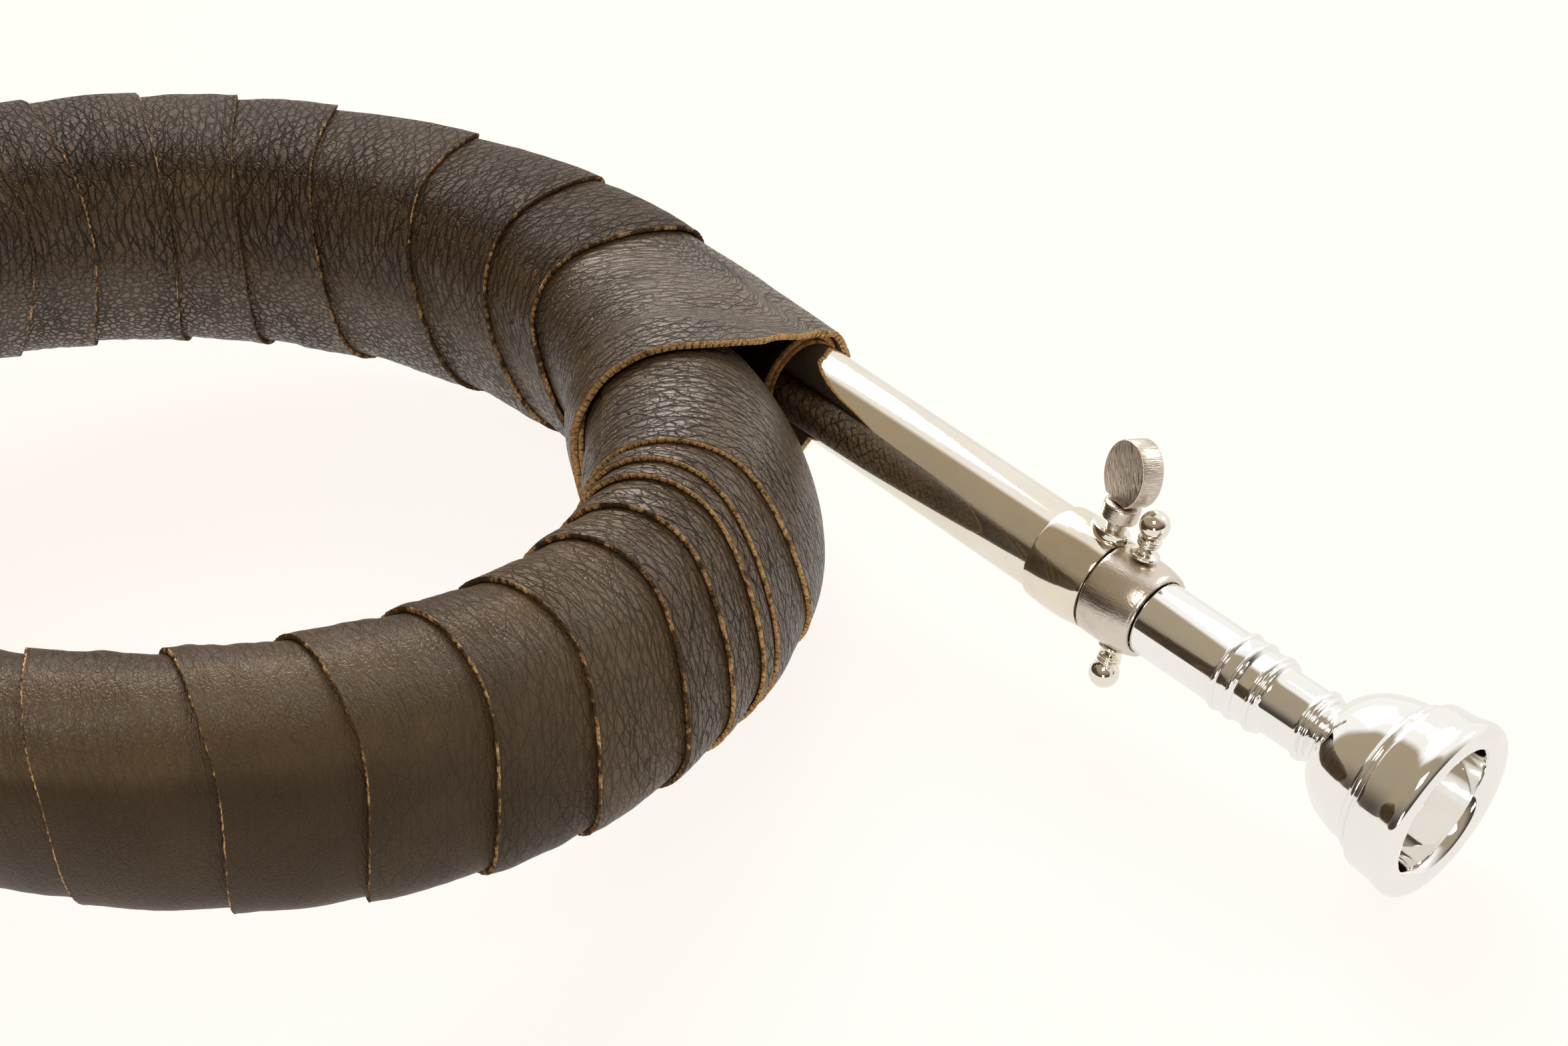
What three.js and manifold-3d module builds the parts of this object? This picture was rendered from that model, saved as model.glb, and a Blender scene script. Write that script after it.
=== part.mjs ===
// Leather-wound hunting horn in B flat, lying on its side as it rests on a table.
// Millimetres. The coil is laid out flat round its own centre, with +Z up through the hand hole,
// and the finished horn is then tipped over until it rests on three points.

import * as THREE from "three";
import { ConvexHull } from "three/addons/math/ConvexHull.js";
import { mergeVertices } from "three/addons/utils/BufferGeometryUtils.js";
import Module from "manifold-3d";

const wasm = await Module();
wasm.setup();

const degree = Math.PI / 180;
const turn = 2 * Math.PI;

// Coil
const ringRadius = 75;
const mouthpipeAngle = 48 * degree;
const bellAngle = 130 * degree;
const wholeTurns = 2;
const bundleShift = 1.2;
const bundleTilt = 38 * degree;
const laneGap = 0.4;
const coilStartRadius = 5.7;
const coilEndRadius = 9.2;
const coilSpread = 1.15;
const tubeWall = 0.6;
const fit = 0.3;
const tubeSides = 8;
const coilStep = 8.5 * degree;

// Joints between the tubes of the coil
const sleeveWall = 0.5;
const sleeveArc = 11 * degree;
const firstJoint = 200 * degree;
const secondJoint = 520 * degree;
const buttGap = 0.3 * degree;

// Braces soldered between neighbouring turns
const braceAngles = { left: 185 * degree, near: 270 * degree, right: 350 * degree };
const braceLength = 9;
const braceWidth = 5;

// Mouthpipe, measured along its own axis from the point where it joins the coil
const mouthpipeDrop = 4.3 * degree;
const leadLength = 26;
const outerTubeStart = 13;
const outerTubeEnd = 97;
const outerTubeRadius = 6.55;
const outerTubeWall = 0.5;
const slideTubeStart = 34;
const slideTubeEnd = 107;
const slideTubeRadius = 5.75;
const slideTubeWall = 0.5;
const turnedSides = 24;

// Two-part ferrule: one half stays on the mouthpipe, the other slides with the receiver
const ferruleStart = 90.8;
const ferruleSeam = 100.3;
const ferruleCrown = 7.4;
const ferruleSeamRadius = 6.85;
const collarStart = 100.7;
const collarEnd = 109;
const collarCrown = 6.9;
const collarEndRadius = 6.15;

// Thumb screw and finger posts, which stand square to the mouthpipe
const screwRoll = -7.5 * degree;
const screwPlace = 98.6;
const screwRadius = 1.15;
const bossRadius = 2.7;
const bossTop = 8.2;
const bossOffset = 0.6;
const screwCollarRadius = 2.65;
const screwCollarBottom = 10.2;
const screwCollarHeight = 2.4;
const headHeight = 9.8;
const headWidth = 8.6;
const headThickness = 3.6;
const headBevel = 0.5;
const headSink = 0.7;
const headTurn = -17 * degree;
const postPlace = 104.3;
const postBallRadius = 2.15;
const postReach = 12.1;

// Mouthpiece, on the mouthpipe's axis
const bareShankLength = 13.7;
const turnedShankLength = 7.7;
const bodyLength = 8.6;
const bowlLength = 12.3;
const bandLength = 7.2;
const shankInside = 21;
const shankRadius = 5.45;
const plugRadius = 4.9;
const plugTipRadius = 4.6;
const plugBore = 3.9;
const throatRadius = 1.9;
const cupRadius = 9.1;
const cupDepth = 13.5;
const rimRadius = 13.1;

// Bell
const bellLength = 172;
const bellMouthRadius = 58;
const bellGrowth = 0.8;
const bellOpeningLength = 20.4;
const bellWall = 0.7;
const bellFlareStart = 108;
const bellFerruleLength = 14;
const bellSides = 32;
const garlandWidth = 17;
const garlandThickness = 0.5;
const garlandLift = 0.45;
const rimWireRadius = 1.6;
const wireSides = 8;

// Leather strips
const leatherThickness = 1.0;
const leatherSeat = 0.35;
const layerGap = 0.66;
const overlapShare = 0.3;
const coverRamp = 18 * degree;
const forkPadding = 2.2;
const forkPadStart = -25 * degree;
const forkPadFull = 6 * degree;
const forkPadFade = 14 * degree;
const softness = 0.6;
const loopSteps = 16;
const windStart = 100 * degree;
const restCut = 0.5;
const nearStartLoops = 0.125;
const nearLoops = 19;
const nearTuckLimit = 22 * degree;
const nearTailLoops = 3;
const nearEndCover = 5.25 * degree;
const farStartWidth = 7 * degree;
const farBellGap = 1;
const sleeveLeatherStart = 33;
const sleeveLeatherEnd = 42;

// Covering edges of the strips on top of the ring, loop by loop, as angles in degrees
const nearEdges = [12, -10.3, -13.8, -17.3, -23.7, -31.5, -43.5, -53.5, -65.5, -77, -89.5];
const nearPlainPitch = 12.4;
const farEdges = [152, 139, 127, 118, 106, 95.5, 84.5, 68.5, 53.5, 41];

// The far strip's last loop runs out round the mouthpipe at the fork.
// Each entry has the loops wound so far and the edge's angle in degrees.
const forkEdge = [
  [10, 41],
  [10.2, 39.5],
  [10.64, 22],
  [10.88, 16.5],
  [10.925, 17],
  [10.95, 10],
  [10.98, 8.5],
  [11.08, 7.5],
  [11.16, 6.5],
  [11.27, 9],
  [11.55, 17],
];

// Block that stands for the table
const floorSpan = 600;
const floorDepth = 20;

// Surface finishes, as colour, roughness and metalness
const finishes = {
  leather: { color: 0x3d3226, roughness: 0.55, metalness: 0 },
  nickelSilver: { color: 0xc8c2ae, roughness: 0.15, metalness: 1 },
  satinNickel: { color: 0xb9b2a6, roughness: 0.35, metalness: 1 },
  silverPlate: { color: 0xe9e8e4, roughness: 0.08, metalness: 1 },
  brass: { color: 0xcf9f4e, roughness: 0.2, metalness: 1 },
};
const density = { leather: 0.9, nickelSilver: 8.6, satinNickel: 8.6, silverPlate: 8.5, brass: 8.5 };

const ringUp = new THREE.Vector3(0, 0, 1);
const clamp = THREE.MathUtils.clamp;
const lerp = THREE.MathUtils.lerp;
const smooth = (value, low, high) => THREE.MathUtils.smoothstep(value, low, high);

const shankEnd = collarEnd + bareShankLength;
const bodyStart = shankEnd + turnedShankLength;
const neck = bodyStart + bodyLength;
const bandStart = neck + bowlLength;
const mouthpieceEnd = bandStart + bandLength;

const farArc = bellAngle - mouthpipeAngle;
const coilArc = wholeTurns * turn + farArc;

// Outer radius of the bare tube at an angle along the coil
function tubeRadius(along) {
  const share = clamp(along / coilArc, 0, 1) ** coilSpread;
  return lerp(coilStartRadius, coilEndRadius, share);
}

// Radius kept for a tube with its joint sleeves
function laneRadius(along) {
  const mouthpipeLane = outerTubeRadius + laneGap;
  return Math.max(mouthpipeLane, tubeRadius(along) + fit + sleeveWall);
}

// Centres of three lanes that touch each other, seen along the coil, as [outward, up]
function stackedLanes(radii) {
  const [first, second, third] = radii;
  const across = first + second + laneGap;
  const toThird = first + third + laneGap;
  const between = second + third + laneGap;
  const x = (toThird ** 2 - between ** 2 + across ** 2) / (2 * across);
  const y = Math.sqrt(toThird ** 2 - x ** 2);
  const centres = [new THREE.Vector2(0, 0), new THREE.Vector2(across, 0), new THREE.Vector2(x, y)];
  const middle = new THREE.Vector2((across + x) / 3, y / 3);
  for (const centre of centres) centre.sub(middle);
  const spin = bundleTilt - centres[0].angle();
  for (const centre of centres) centre.rotateAround(new THREE.Vector2(), spin);
  return centres;
}

const laneRadiiAt = (angle) => [0, 1, 2].map((pass) => laneRadius(angle + pass * turn));

// Lanes at one angle round the ring: three on the far arc, two on the rest of the ring
function lanesAt(angle) {
  const along = THREE.MathUtils.euclideanModulo(angle - mouthpipeAngle, turn);
  if (along <= farArc) {
    const radii = laneRadiiAt(along);
    return stackedLanes(radii).map((centre, pass) => ({ centre, radius: radii[pass] }));
  }
  const leaving = stackedLanes(laneRadiiAt(farArc));
  const joining = stackedLanes(laneRadiiAt(0));
  const share = smooth((along - farArc) / (turn - farArc), 0, 1);
  const startAxis = leaving[0].clone().sub(leaving[1]).angle();
  let endAxis = joining[1].clone().sub(joining[2]).angle();
  if (endAxis < startAxis) endAxis += turn;
  const axis = lerp(startAxis, endAxis, share);
  const startMiddle = leaving[0].clone().add(leaving[1]).divideScalar(2);
  const endMiddle = joining[1].clone().add(joining[2]).divideScalar(2);
  const middle = startMiddle.lerp(endMiddle, share);
  const radii = [laneRadius(along), laneRadius(along + turn)];
  const half = (radii[0] + radii[1] + laneGap) / 2;
  const aside = new THREE.Vector2(Math.cos(axis) * half, Math.sin(axis) * half);
  return [
    { centre: middle.clone().add(aside), radius: radii[0] },
    { centre: middle.clone().sub(aside), radius: radii[1] },
  ];
}

const outwardAt = (angle) => new THREE.Vector3(Math.cos(angle), Math.sin(angle), 0);

// A point of the ring's section, given outward and up from the middle of the section
function ringPoint(angle, outward, up) {
  return outwardAt(angle).multiplyScalar(ringRadius + bundleShift + outward).setZ(up);
}

function lanePoint(along) {
  const pass = Math.floor(along / turn);
  const angle = mouthpipeAngle + along;
  const { centre } = lanesAt(angle)[pass];
  return ringPoint(angle, centre.x, centre.y);
}

// Mouthpipe and bell leave the ring along its tangents
const mouthpipeOrigin = lanePoint(0);
const mouthpipeAxis = new THREE.Vector3(
  Math.sin(mouthpipeAngle) * Math.cos(mouthpipeDrop),
  -Math.cos(mouthpipeAngle) * Math.cos(mouthpipeDrop),
  -Math.sin(mouthpipeDrop),
);
const bellLane = lanesAt(bellAngle)[wholeTurns];
const bellOrigin = ringPoint(bellAngle, bellLane.centre.x, bellLane.centre.y);
const bellAxis = new THREE.Vector3(-Math.sin(bellAngle), Math.cos(bellAngle), 0);

// Bell radius grows slowly in the throat and fast at the mouth
function bellRadius(along) {
  const left = (bellLength + bellOpeningLength - along) / bellOpeningLength;
  return bellMouthRadius * left ** -bellGrowth;
}

// How fast the bell's radius grows with the distance along it
const bellSlope = (along) => (bellGrowth * bellRadius(along)) / (bellLength + bellOpeningLength - along);

// Point beside the bell's outside, as [radius, along], lifted square to it
function besideBell(along, lift) {
  const slope = bellSlope(along);
  const lean = Math.hypot(1, slope);
  return [bellRadius(along) + lift / lean, along - (lift * slope) / lean];
}

// Welded closed geometry whose faces point outwards
function closedGeometry(geometry) {
  const bare = geometry.clone();
  bare.deleteAttribute("normal");
  bare.deleteAttribute("uv");
  const welded = mergeVertices(bare, 1e-4);
  const place = welded.attributes.position;
  const corner = [0, 1, 2].map(() => new THREE.Vector3());
  const kept = [];
  let volume = 0;
  for (let i = 0; i < welded.index.count; i += 3) {
    const ids = [0, 1, 2].map((k) => welded.index.getX(i + k));
    if (ids[0] === ids[1] || ids[1] === ids[2] || ids[0] === ids[2]) continue;
    ids.forEach((id, k) => corner[k].fromBufferAttribute(place, id));
    volume += corner[0].dot(corner[1].clone().cross(corner[2])) / 6;
    kept.push(ids);
  }
  if (volume < 0) for (const ids of kept) ids.reverse();
  welded.setIndex(kept.flat());
  return welded;
}

function toSolid(geometry) {
  const closed = closedGeometry(geometry);
  const vertProperties = Float32Array.from(closed.attributes.position.array);
  const triVerts = Uint32Array.from(closed.index.array);
  return new wasm.Manifold(new wasm.Mesh({ numProp: 3, vertProperties, triVerts }));
}

function fromSolid(solid) {
  const mesh = solid.getMesh();
  const geometry = new THREE.BufferGeometry();
  geometry.setAttribute("position", new THREE.BufferAttribute(mesh.vertProperties.slice(), 3));
  geometry.setIndex(new THREE.BufferAttribute(mesh.triVerts.slice(), 1));
  return geometry;
}

const cutAway = (geometry, tool) => fromSolid(toSolid(geometry).subtract(toSolid(tool)));

// A turned piece from [radius, along] points, with its axis on +Z
function turned(profile, sides = turnedSides) {
  const points = profile.map(([radius, along]) => new THREE.Vector2(radius, along));
  return closedGeometry(new THREE.LatheGeometry(points, sides).rotateX(Math.PI / 2));
}

// A turned ring closes its profile on itself
const turnedRing = (profile, sides) => turned([...profile, profile[0]], sides);

// A straight pin along +X, from one distance to another
function pinAcross(radius, from, to, place, sides = 12) {
  const pin = new THREE.CylinderGeometry(radius, radius, to - from, sides);
  return pin.rotateZ(-Math.PI / 2).translate((from + to) / 2, 0, place);
}

// Skin through rows of points: each row joins the next, and rows may close in both directions
function skinGeometry(rows, caps) {
  const width = rows[0].length;
  const positions = rows.flat().flatMap((point) => point.toArray());
  const index = [];
  const quad = (a, b, c, d) => index.push(a, b, c, a, c, d);
  const lastRow = rows.length - 1;
  const at = (row, column) => row * width + (column % width);
  for (let row = 0; row < lastRow; row += 1) {
    for (let column = 0; column < width; column += 1) {
      quad(at(row, column), at(row, column + 1), at(row + 1, column + 1), at(row + 1, column));
    }
  }
  if (caps === "ring") {
    for (let column = 0; column < width; column += 1) {
      quad(at(lastRow, column), at(lastRow, column + 1), at(0, column + 1), at(0, column));
    }
  } else {
    const half = width / 2;
    for (let k = 0; k < half - 1; k += 1) {
      quad(at(0, k + 1), at(0, k), at(0, width - 1 - k), at(0, width - 2 - k));
      quad(at(lastRow, k), at(lastRow, k + 1), at(lastRow, width - 2 - k), at(lastRow, width - 1 - k));
    }
  }
  const geometry = new THREE.BufferGeometry();
  geometry.setAttribute("position", new THREE.Float32BufferAttribute(positions, 3));
  geometry.setIndex(index);
  return closedGeometry(geometry);
}

// Circle of points round a centre, across the directions aside and up
function circleRow(centre, aside, up, radius) {
  const row = [];
  for (let k = 0; k < tubeSides; k += 1) {
    const around = ((k + 0.5) / tubeSides) * turn;
    const point = centre.clone().addScaledVector(aside, radius * Math.cos(around));
    row.push(point.addScaledVector(up, radius * Math.sin(around)));
  }
  return row;
}

// An open pipe through stations of centre, aside, up, outer and inner radius
function pipeGeometry(stations) {
  const outside = stations.map((s) => circleRow(s.centre, s.aside, s.up, s.outer));
  const inside = stations.map((s) => circleRow(s.centre, s.aside, s.up, s.inner)).reverse();
  return skinGeometry([...outside, ...inside], "ring");
}

// Stations of the coil between two angles along it
function coilStations(from, to, outerAt, innerAt) {
  const steps = Math.max(2, Math.ceil((to - from) / coilStep));
  const stations = [];
  for (let k = 0; k <= steps; k += 1) {
    const along = lerp(from, to, k / steps);
    stations.push({
      centre: lanePoint(along),
      aside: outwardAt(mouthpipeAngle + along),
      up: ringUp,
      outer: outerAt(along),
      inner: innerAt(along),
    });
  }
  return stations;
}

const boreAt = (along) => tubeRadius(along) - tubeWall;

// Stations on a straight stretch that leaves the ring along an axis
function straightStation(origin, axis, along, outer, inner) {
  const aside = axis.clone().cross(ringUp).normalize();
  const up = aside.clone().cross(axis);
  return { centre: origin.clone().addScaledVector(axis, along), aside, up, outer, inner };
}

const pieces = [];

// Records a piece: its name, finish, geometry and the group that places it
function addPiece(group, name, finish, geometry) {
  const material = new THREE.MeshStandardMaterial(finishes[finish]);
  const mesh = new THREE.Mesh(geometry, material);
  mesh.name = name;
  group.add(mesh);
  pieces.push({ mesh, finish });
  return mesh;
}

const horn = new THREE.Group();
const coilGroup = new THREE.Group();
horn.add(coilGroup);

function makeCoilTubes() {
  const leadOuter = tubeRadius(0);
  const lead = [1, 0.5].map((share) =>
    straightStation(mouthpipeOrigin, mouthpipeAxis, leadLength * share, leadOuter, leadOuter - tubeWall),
  );
  // The lead is seen from its far end, so its sides run the other way round than the coil's
  for (const station of lead) station.aside = outwardAt(mouthpipeAngle);
  const firstEnd = firstJoint - buttGap;
  const first = [...lead, ...coilStations(0, firstEnd, tubeRadius, boreAt)];
  addPiece(coilGroup, "first_coil_tube", "brass", pipeGeometry(first));

  const second = coilStations(firstJoint + buttGap, secondJoint - buttGap, tubeRadius, boreAt);
  addPiece(coilGroup, "second_coil_tube", "brass", pipeGeometry(second));

  const tailShares = [0.1, 0.3, 0.5, 0.75, 1];
  const tail = tailShares.map((share) => {
    const along = (bellFlareStart - fit / 2) * share;
    const outer = Math.max(bellRadius(along), coilEndRadius);
    const station = straightStation(bellOrigin, bellAxis, along, outer, outer - tubeWall);
    station.aside.copy(outwardAt(bellAngle));
    station.up.copy(ringUp);
    return station;
  });
  const third = [...coilStations(secondJoint + buttGap, coilArc, tubeRadius, boreAt), ...tail];
  addPiece(coilGroup, "third_coil_tube", "brass", pipeGeometry(third));

  const sleeveInner = (along) => tubeRadius(along) + fit;
  const sleeveOuter = (along) => laneRadius(along);
  for (const [name, joint] of [["first_coil_ferrule", firstJoint], ["second_coil_ferrule", secondJoint]]) {
    const stations = coilStations(joint - sleeveArc / 2, joint + sleeveArc / 2, sleeveOuter, sleeveInner);
    addPiece(coilGroup, name, "nickelSilver", pipeGeometry(stations));
  }
}

// Small plates that hold two neighbouring turns together
function makeBraces() {
  for (const [side, angle] of Object.entries(braceAngles)) {
    const [first, second] = lanesAt(angle);
    const along = THREE.MathUtils.euclideanModulo(angle - mouthpipeAngle, turn);
    const firstSkin = tubeRadius(along);
    const secondSkin = tubeRadius(along + turn);
    const axis = first.centre.clone().sub(second.centre);
    const flat = Math.cos(Math.PI / tubeSides);
    const thickness = axis.length() - firstSkin - secondSkin - 2 * fit;
    const seat = secondSkin + fit + thickness / 2;
    const middle = second.centre.clone().addScaledVector(axis.clone().normalize(), seat);
    const brace = new THREE.Group();
    brace.position.copy(ringPoint(angle, middle.x, middle.y));
    brace.rotation.set(0, -axis.angle(), angle, "ZYX");
    coilGroup.add(brace);
    const plate = new THREE.BoxGeometry(thickness, braceLength, braceWidth * flat);
    addPiece(brace, `${side}_coil_brace`, "brass", closedGeometry(plate));
  }
}

function makeBell() {
  const bell = new THREE.Group();
  bell.position.copy(bellOrigin);
  bell.quaternion.setFromUnitVectors(ringUp, bellAxis);
  coilGroup.add(bell);

  const flareSpan = bellLength - bellFlareStart;
  const shares = [0, 0.2, 0.38, 0.54, 0.68, 0.78, 0.86, 0.92, 0.96, 1];
  const stops = shares.map((share) => bellFlareStart + fit / 2 + (flareSpan - fit / 2) * share);
  const outside = stops.map((along) => [bellRadius(along), along]);
  const inside = stops.map((along) => besideBell(along, -bellWall));
  inside[0][1] = stops[0];
  addPiece(bell, "bell_flare", "brass", turnedRing([...outside, ...inside.reverse()], bellSides));

  const ferruleStartAlong = bellFlareStart - bellFerruleLength / 2;
  const ferruleStops = [0, 1 / 3, 2 / 3, 1].map((share) => ferruleStartAlong + bellFerruleLength * share);
  const skin = (along) => Math.max(bellRadius(along), coilEndRadius) + fit;
  const beads = [0.7, 0.5, 0.5, 0.9];
  const ferruleOut = ferruleStops.map((along, k) => [skin(along) + beads[k], along]);
  const ferruleIn = ferruleStops.map((along) => [skin(along), along]);
  const ferrule = turnedRing([...ferruleOut, ...ferruleIn.reverse()]);
  addPiece(bell, "bell_ferrule", "nickelSilver", ferrule);

  // The garland lies on the outside of the flare and stops short of the rolled rim
  const garlandStops = [0, 0.35, 0.65, 0.85, 1].map((share) => bellLength - garlandWidth * (1 - share));
  const garlandIn = garlandStops.map((along) => besideBell(along, garlandLift));
  const garlandOut = garlandStops.map((along) => besideBell(along, garlandLift + garlandThickness));
  const garland = turnedRing([...garlandOut, ...garlandIn.reverse()], bellSides);
  addPiece(bell, "bell_garland", "nickelSilver", garland);

  const wireCentre = bellLength + bellWall + fit + rimWireRadius;
  const wire = [];
  for (let k = 0; k < wireSides; k += 1) {
    const around = (k / wireSides) * turn;
    const radius = bellMouthRadius + rimWireRadius * Math.cos(around);
    wire.push([radius, wireCentre + rimWireRadius * Math.sin(around)]);
  }
  addPiece(bell, "bell_rim_wire", "nickelSilver", turnedRing(wire, bellSides));
}

const pipeGroup = new THREE.Group();

// Frame of the mouthpipe: +Z along it towards the mouthpiece, +X where the thumb screw points
function placePipeGroup() {
  const level = ringUp.clone().addScaledVector(mouthpipeAxis, -ringUp.dot(mouthpipeAxis)).normalize();
  const screwAxis = level.applyAxisAngle(mouthpipeAxis, screwRoll);
  const side = mouthpipeAxis.clone().cross(screwAxis);
  const basis = new THREE.Matrix4().makeBasis(screwAxis, side, mouthpipeAxis);
  pipeGroup.position.copy(mouthpipeOrigin);
  pipeGroup.quaternion.setFromRotationMatrix(basis);
  coilGroup.add(pipeGroup);
}

function makeSlide() {
  const outerBore = outerTubeRadius - outerTubeWall;
  addPiece(pipeGroup, "mouthpipe_outer_tube", "nickelSilver", turnedRing([
    [outerTubeRadius, outerTubeStart],
    [outerTubeRadius, outerTubeEnd],
    [outerBore, outerTubeEnd],
    [outerBore, outerTubeStart],
  ]));

  const slideBore = slideTubeRadius - slideTubeWall;
  addPiece(pipeGroup, "tuning_slide_tube", "nickelSilver", turnedRing([
    [slideTubeRadius, slideTubeStart],
    [slideTubeRadius, slideTubeEnd],
    [slideBore, slideTubeEnd],
    [slideBore, slideTubeStart],
  ]));

  const overTube = outerTubeRadius + fit;
  const overSlide = slideTubeRadius + fit;
  const lock = turnedRing([
    [overTube + 0.3, ferruleStart],
    [overTube + 0.45, ferruleStart + 0.8],
    [ferruleCrown, ferruleStart + 3.2],
    [ferruleCrown - 0.1, ferruleStart + 6],
    [ferruleSeamRadius, ferruleSeam],
    [overSlide, ferruleSeam],
    [overSlide, outerTubeEnd + fit],
    [overTube, outerTubeEnd + fit],
    [overTube, ferruleStart],
  ]);
  const screwHole = pinAcross(screwRadius + fit, slideTubeRadius - 1, bossTop + 1, screwPlace);
  addPiece(pipeGroup, "lock_ferrule", "nickelSilver", cutAway(lock, screwHole));

  const boss = pinAcross(bossRadius, slideTubeRadius, bossTop, screwPlace - bossOffset, 20);
  const seatRadius = ferruleCrown + fit;
  const seatLow = screwPlace - 2 * ferruleCrown;
  const seatHigh = screwPlace + 2 * ferruleCrown;
  const bossSeat = turned([[0, seatLow], [seatRadius, seatLow], [seatRadius, seatHigh], [0, seatHigh]], 48);
  addPiece(pipeGroup, "thumb_screw_boss", "nickelSilver", cutAway(cutAway(boss, bossSeat), screwHole));

  const overShank = shankRadius + fit;
  addPiece(pipeGroup, "slide_collar", "satinNickel", turnedRing([
    [ferruleSeamRadius, collarStart],
    [collarCrown, (collarStart + collarEnd) / 2],
    [collarCrown - 0.15, collarEnd - 2.4],
    [collarEndRadius + 0.2, collarEnd - 0.6],
    [collarEndRadius, collarEnd],
    [overShank, collarEnd],
    [overShank, slideTubeEnd + fit],
    [overSlide, slideTubeEnd + fit],
    [overSlide, collarStart],
  ]));
}

function makeThumbScrew() {
  const screw = new THREE.Group();
  screw.position.set(0, 0, screwPlace);
  screw.rotation.y = Math.PI / 2;
  pipeGroup.add(screw);
  const tip = slideTubeRadius + fit;
  const collarTop = screwCollarBottom + screwCollarHeight;
  addPiece(screw, "thumb_screw_stem", "satinNickel", turned([
    [0, tip],
    [screwRadius - 0.3, tip],
    [screwRadius, tip + 0.4],
    [screwRadius, screwCollarBottom - 0.3],
    [screwCollarRadius - 0.5, screwCollarBottom],
    [screwCollarRadius, screwCollarBottom + 0.5],
    [screwCollarRadius, collarTop - 0.6],
    [screwCollarRadius - 0.7, collarTop],
    [0, collarTop],
  ], 20));

  // Lens-shaped head: an ellipse with thinner, rounded sides, cut flat where it meets the collar
  const head = new THREE.Group();
  head.rotation.z = headTurn;
  screw.add(head);
  const outline = new THREE.Shape();
  outline.absellipse(0, 0, headWidth / 2, headHeight / 2, 0, turn);
  const lens = new THREE.ExtrudeGeometry(outline, {
    depth: headThickness - 2 * headBevel,
    curveSegments: 14,
    bevelThickness: headBevel,
    bevelSize: headBevel,
    bevelOffset: -headBevel,
    bevelSegments: 1,
  });
  lens.translate(0, 0, headBevel - headThickness / 2).rotateX(Math.PI / 2);
  lens.translate(0, 0, collarTop + fit + headHeight / 2 - headSink);
  const below = new THREE.BoxGeometry(20, 20, 4).translate(0, 0, collarTop + fit - 2);
  addPiece(head, "thumb_screw_head", "satinNickel", cutAway(lens, below));
}

// Ball-headed finger posts on opposite sides of the sliding half
function makePosts() {
  const foot = collarCrown + fit;
  const ballBottom = postReach - postBallRadius;
  const ball = [-50, -20, 10, 35, 60].map((deg) => [
    postBallRadius * Math.cos(deg * degree),
    postReach + postBallRadius * Math.sin(deg * degree),
  ]);
  const profile = [
    [0, foot],
    [1.9, foot],
    [1.9, foot + 0.5],
    [1.0, foot + 1.1],
    [0.8, ballBottom - 0.9],
    [1.7, ballBottom - 0.5],
    [1.7, ballBottom - 0.1],
    [1.1, ballBottom + 0.2],
    ...ball,
    [0, postReach + postBallRadius],
  ];
  for (const [name, lean] of [["upper_finger_post", 1], ["lower_finger_post", -1]]) {
    const post = new THREE.Group();
    post.position.set(0, 0, postPlace);
    post.rotation.y = (lean * Math.PI) / 2;
    pipeGroup.add(post);
    addPiece(post, name, "nickelSilver", turned(profile, 16));
  }
}

function makeMouthpiece() {
  const plugStart = collarEnd - shankInside;
  const bead = 0.5;
  const outside = [
    [plugTipRadius, plugStart],
    [plugRadius, collarEnd + 0.2],
    [shankRadius, collarEnd + 0.4],
    [shankRadius, shankEnd],
    [shankRadius + bead, shankEnd + 0.6],
    [shankRadius + bead, shankEnd + 2.6],
    [shankRadius, shankEnd + 3.2],
    [shankRadius + bead - 0.1, shankEnd + 3.8],
    [shankRadius + bead - 0.1, shankEnd + 6],
    [shankRadius - 0.1, shankEnd + 6.6],
    [shankRadius + bead - 0.3, shankEnd + 7.2],
    [4.8, bodyStart + 0.3],
    [4.8, neck - 2.6],
    [5.2, neck - 2.0],
    [4.9, neck - 1.1],
    [3.9, neck - 0.3],
    [4.0, neck + 0.3],
    [6.2, neck + 1.2],
    [8.2, neck + 3],
    [9.7, neck + 5.6],
    [10.5, neck + 9],
    [10.6, bandStart - 2],
    [11.1, bandStart - 1.3],
    [11.0, bandStart - 0.5],
    [12.3, bandStart],
    [12.7, mouthpieceEnd - 3],
    [rimRadius, mouthpieceEnd - 1.6],
    [rimRadius - 0.7, mouthpieceEnd - 0.4],
    [rimRadius - 2, mouthpieceEnd],
  ];
  const inside = [
    [cupRadius + 0.6, mouthpieceEnd - 0.3],
    [cupRadius, mouthpieceEnd - 1.3],
    [cupRadius - 0.6, mouthpieceEnd - 0.4 * cupDepth],
    [cupRadius - 2.4, mouthpieceEnd - 0.7 * cupDepth],
    [cupRadius - 5, mouthpieceEnd - 0.9 * cupDepth],
    [throatRadius, mouthpieceEnd - cupDepth - 1],
    [throatRadius, mouthpieceEnd - cupDepth - 6],
    [plugBore, plugStart],
  ];
  addPiece(pipeGroup, "mouthpiece", "silverPlate", turnedRing([...outside, ...inside]));
}

function makeLeatherCollar() {
  const inner = outerTubeRadius + fit;
  addPiece(pipeGroup, "mouthpipe_leather_collar", "leather", turnedRing([
    [inner + leatherThickness, sleeveLeatherStart],
    [inner + leatherThickness, sleeveLeatherEnd],
    [inner, sleeveLeatherEnd],
    [inner, sleeveLeatherStart],
  ]));
}

// The leather lies on a soft outline drawn tight round the tubes.
// Each round or slanted tube in the section is an ellipse: middle, half width and half height.
const roundEllipse = ({ centre, radius }, extra) => ({
  x: centre.x,
  y: centre.y,
  wide: radius + extra,
  high: radius + extra,
});

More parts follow.
